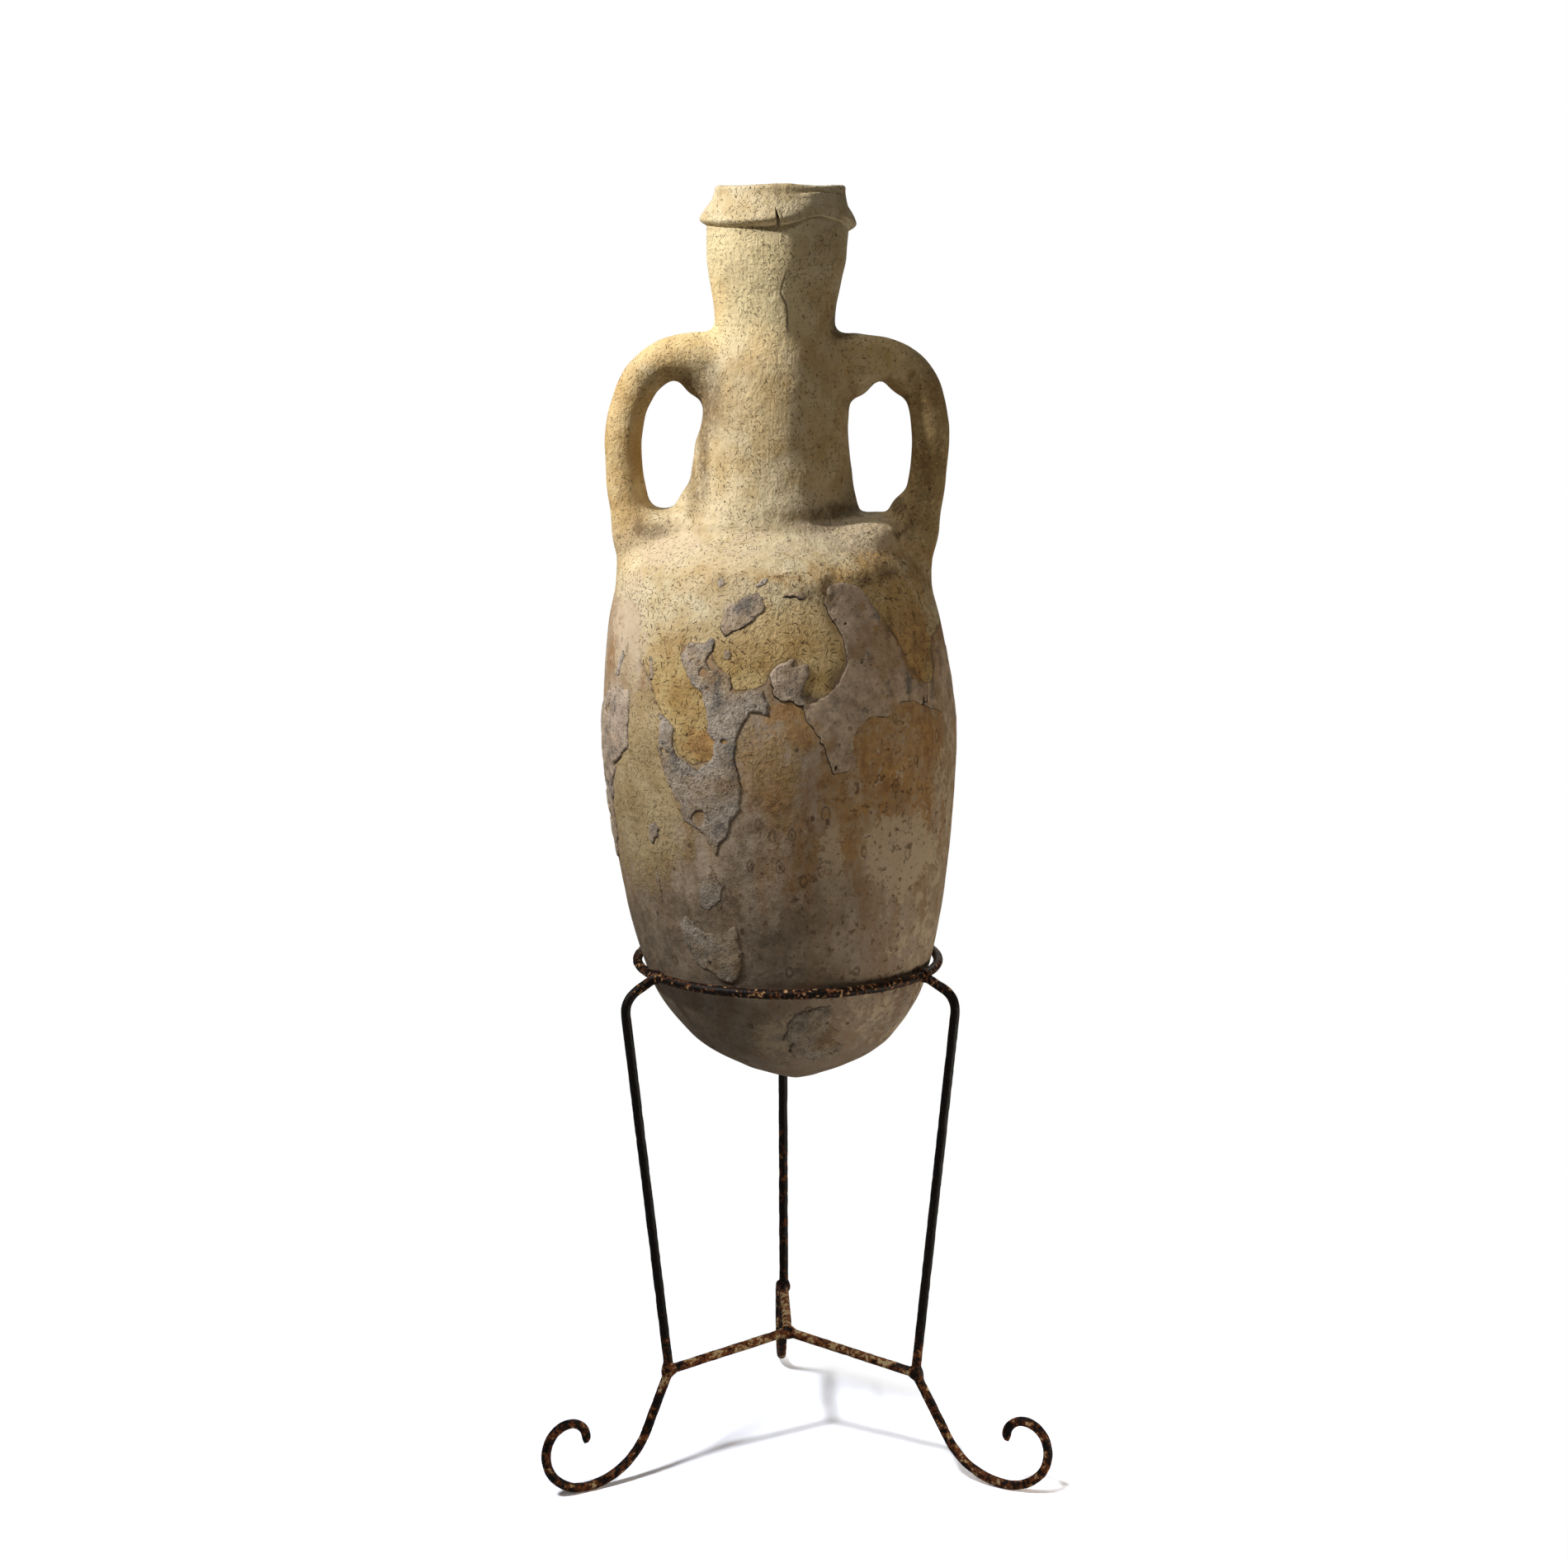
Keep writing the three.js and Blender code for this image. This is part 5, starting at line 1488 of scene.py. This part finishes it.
# %% Bars of the stand
def make_bar(name, path, radii, seed, node, closed=False):
    """One bar of the stand, swept along a path by the forged bar tree."""
    mesh = bpy.data.meshes.new(name)
    edges = [(k, k + 1) for k in range(len(path) - 1)] + ([(len(path) - 1, 0)] if closed else [])
    mesh.from_pydata([tuple(p) for p in path], edges, [])
    bar = bpy.data.objects.new(name, mesh)
    bpy.context.scene.collection.objects.link(bar)
    paint(bar, "bar_radius", radii)
    forge = bar.modifiers.new("forge", "NODES")
    forge.node_group = bar_tree
    forge[bar_inputs["Seed"]] = seed
    forge[bar_inputs["Finish"]] = painted_iron
    baked(bar)
    for point in bar.data.vertices:
        point.co.z = max(point.co.z, 0.0)
    dress(bar, painted_iron, "stand", "black_iron", node)


def rounded_end(path, reach):
    """Radii along a path that close its far end like a worn bar end."""
    length = np.concatenate([[0], np.cumsum(np.linalg.norm(np.diff(path, axis=0), axis=1))])
    part = np.clip((length[-1] - length) / reach, 0, 1)
    return BAR * np.sqrt(np.clip(1 - (1 - part) ** 2, 0.02, 1))


RING_STEPS, BRACE_STEPS = 160, 12
TIP = 9 * MM
ring_turns = np.linspace(0, 2 * math.pi, RING_STEPS, endpoint=False)
ring_path = np.stack([
    AXIS_X + RING_RADIUS * np.cos(ring_turns), AXIS_Y + RING_RADIUS * np.sin(ring_turns),
    np.full(RING_STEPS, RING_LEVEL),
], 1)
make_bar("ring_bar", ring_path, np.full(RING_STEPS, BAR), 1.0, "stand_ring", closed=True)

for side, leg in LEGS.items():
    path = in_place(leg_path(leg), leg["bearing"])
    make_bar(f"{side}_leg_bar", path, rounded_end(path, TIP), leg["seed"], f"{side}_leg")
    steps = np.linspace(0, 1, BRACE_STEPS)[:, None]
    brace = in_place(HUB + (leg["knee"] - HUB) * steps, leg["bearing"])
    make_bar(f"{side}_brace_bar", brace, np.full(BRACE_STEPS, BAR), leg["seed"] + 2, f"{side}_brace")

# %% [markdown]
# ## Welds
#
# Where two bars meet, a weld bead fills the corner. The field method of the jar does this too:
# the bars near the joint are joined softly with a small ball, and the bar's own radius in the
# field shrinks away from the joint until it sinks inside the real bar.


# %% Weld beads
WELD_STEP, WELD_ROOM, WELD_FILLET = 1.0 * MM, 17 * MM, 4.5 * MM
RUN = 11 * MM
RUN_SIZE = BAR + 0.45 * MM
RUN_SHRINK = 1.6 * MM
WELD_LUMPS = ((0.35, 0.0045, 2.2), (0.3, 0.011, 3.3))


def toward(spot, target, length):
    """The place at a length from a spot on the way to a target."""
    return spot + (target - spot) / np.linalg.norm(target - spot) * length


def make_weld(name, middle, runs, ball, node):
    """A bead round a joint: a small ball softly joined to short lengths of the bars that meet."""

    def field(points):
        far = np.linalg.norm(points - middle, axis=1)
        value = far - ball
        for start, end in runs:
            bar = from_run(points, start, end)[0] - RUN_SIZE + RUN_SHRINK * np.clip(far / RUN, 0, 2) ** 2
            value = soft_join(value, bar, WELD_FILLET)
        return value + layered(points, *WELD_LUMPS) * MM

    points, faces = net_of(field, middle - WELD_ROOM, middle + WELD_ROOM, WELD_STEP, 0.1 * MM)
    dress(mesh_object(name, points, faces), painted_iron, "stand", "weld_iron", node)


hub_spot = np.array([AXIS_X, AXIS_Y, HUB[1]])
hub_runs = []
for side, leg in LEGS.items():
    flat = leg_path(leg)
    place = in_place(flat, leg["bearing"])
    angle = math.radians(leg["bearing"])
    tangent = np.array([-math.sin(angle), math.cos(angle), 0]) * 10 * MM
    top = place[0]
    runs = [(top - tangent, top + tangent), (top, toward(top, place[1], 10 * MM))]
    make_weld(f"{side}_ring_bead", top, runs, 4.6 * MM, f"{side}_ring_weld")
    knee_at = int(np.argmin(np.linalg.norm(flat - leg["knee"], axis=1)))
    spot = place[knee_at]
    ends = (place[max(knee_at - 5, 0)], place[knee_at + 6], hub_spot)
    runs = [(spot, toward(spot, end, RUN)) for end in ends]
    make_weld(f"{side}_brace_bead", spot, runs, 4.4 * MM, f"{side}_brace_weld")
    hub_runs.append((hub_spot, toward(hub_spot, in_place(leg["knee"][None], leg["bearing"])[0], RUN)))
make_weld("hub_bead", hub_spot, hub_runs, 4.8 * MM, "hub_weld")

# %% [markdown]
# ## Floor, backdrop and light
#
# The photograph has a plain white ground with thin soft shadows under the stand. The floor is
# white to the camera, with the stand's shadow on its near part, and dull to everything else, so it
# does not light the jar from below. Behind the stand it only glows, as the photograph's does.
#
# A narrow lamp high on the left models the jar and a weak sun draws the shadow on the floor. A low
# warm lamp and a faint warm fill open the shade on the right. A soft lamp stands behind for the
# views from the back: light linking keeps it off the floor, so the shadow stays.

# %% Stage
FLOOR_REACH, FLOOR_LEVEL = 6.0, -0.4 * MM
WHITE, DULL_WHITE, FLOOR_WHITE = (1, 1, 1, 1), (0.7, 0.7, 0.7, 1), (5.3, 5.6, 6.3, 1)
DIM_WHITE, DIM_STRENGTH = (1.0, 0.97, 0.92, 1), 0.014


def emptied_tree(owner):
    """The node tree of a material or a world, with nothing in it."""
    owner.use_nodes = True
    owner.node_tree.nodes.clear()
    return Tree(owner.node_tree)


floor_mesh = bpy.data.meshes.new("floor")
corners = ((-1, -1), (1, -1), (1, 1), (-1, 1))
floor_corners = [(x * FLOOR_REACH, y * FLOOR_REACH, FLOOR_LEVEL) for x, y in corners]
floor_mesh.from_pydata(floor_corners, [], [(0, 1, 2, 3)])
floor = bpy.data.objects.new("floor", floor_mesh)
bpy.context.scene.collection.objects.link(floor)

floor_finish = bpy.data.materials.new("white_floor")
tree = emptied_tree(floor_finish)
place = tree.node("ShaderNodeTexCoord").out("Object")
parts = tree.node("ShaderNodeSeparateXYZ", None, {0: place})
right_and_back = parts * 0.6 + parts.out("Y") * 0.8
behind = tree.ramp(right_and_back, 0.1, 0.155).most(tree.ramp(parts.out("Y"), 0.2, 0.3))
seen = tree.node("ShaderNodeLightPath")
lit = tree.node("ShaderNodeBsdfDiffuse", None, {"Color": FLOOR_WHITE})
glow = tree.node("ShaderNodeEmission", None, {"Color": WHITE, "Strength": 1.0})
dull = tree.node("ShaderNodeBsdfDiffuse", None, {"Color": DULL_WHITE})
shown = tree.node("ShaderNodeMixShader", None, {0: behind, 1: lit, 2: glow})
both = tree.node("ShaderNodeMixShader", None, {0: seen, 1: dull, 2: shown})
tree.node("ShaderNodeOutputMaterial", None, {"Surface": both})
floor_mesh.materials.append(floor_finish)

world = bpy.data.worlds.new("studio")
bpy.context.scene.world = world
tree = emptied_tree(world)
seen = tree.node("ShaderNodeLightPath")
dim = tree.node("ShaderNodeBackground", None, {"Color": DIM_WHITE, "Strength": DIM_STRENGTH})
white = tree.node("ShaderNodeBackground", None, {"Color": WHITE, "Strength": 1.0})
both = tree.node("ShaderNodeMixShader", None, {0: seen, 1: dim, 2: white})
tree.node("ShaderNodeOutputWorld", None, {"Surface": both})
print("floor and world are white to the camera")

# %% Lamps
SPOT_CONE = math.radians(27.5)


def lamp(name, kind, bearing, height, distance, size, power, aim_z, tint=(1, 1, 1)):
    """A lamp that faces the jar from a bearing right or left of the front, in degrees."""
    data = bpy.data.lights.new(name, kind)
    if kind == "AREA":
        data.size = size
    elif kind == "SUN":
        data.angle = size
    else:
        data.shadow_soft_size = size / 2
        data.spot_size = SPOT_CONE
        data.spot_blend = 1.0
    data.energy = power
    data.color = tint
    thing = bpy.data.objects.new(name, data)
    side, up = math.radians(bearing), math.radians(height)
    aim = Vector((AXIS_X, AXIS_Y, aim_z))
    way = Vector((math.sin(side) * math.cos(up), -math.cos(side) * math.cos(up), math.sin(up)))
    thing.location = aim + way * distance
    thing.rotation_euler = way.to_track_quat("Z", "Y").to_euler()
    bpy.context.scene.collection.objects.link(thing)
    return thing


# Bearing, height in degrees, distance, size (an angle for the sun), power, height of its aim, tint
lamp("jar_lamp", "SPOT", -72, 36, 2.6, 0.16, 330, 1.05)
lamp("sky_lamp", "SUN", -37, 57, 3.0, 0.14, 0.66, 0.1)
lamp("rim_lamp", "AREA", 75, -16, 1.05, 0.5, 3.6, 0.40, (1.0, 0.9, 0.74))
lamp("fill_lamp", "AREA", 30, 6, 2.6, 1.4, 0.7, 0.8, (1.0, 0.68, 0.38))
back_lamp = lamp("back_lamp", "AREA", 165, 24, 2.6, 1.6, 12, 0.8, (1.0, 0.95, 0.88))
floor_apart = bpy.data.collections.new("floor_apart")
floor_apart.objects.link(floor)
floor_apart.collection_objects[0].light_linking.link_state = "EXCLUDE"
back_lamp.light_linking.receiver_collection = floor_apart
bpy.context.scene.view_settings.view_transform = "Standard"
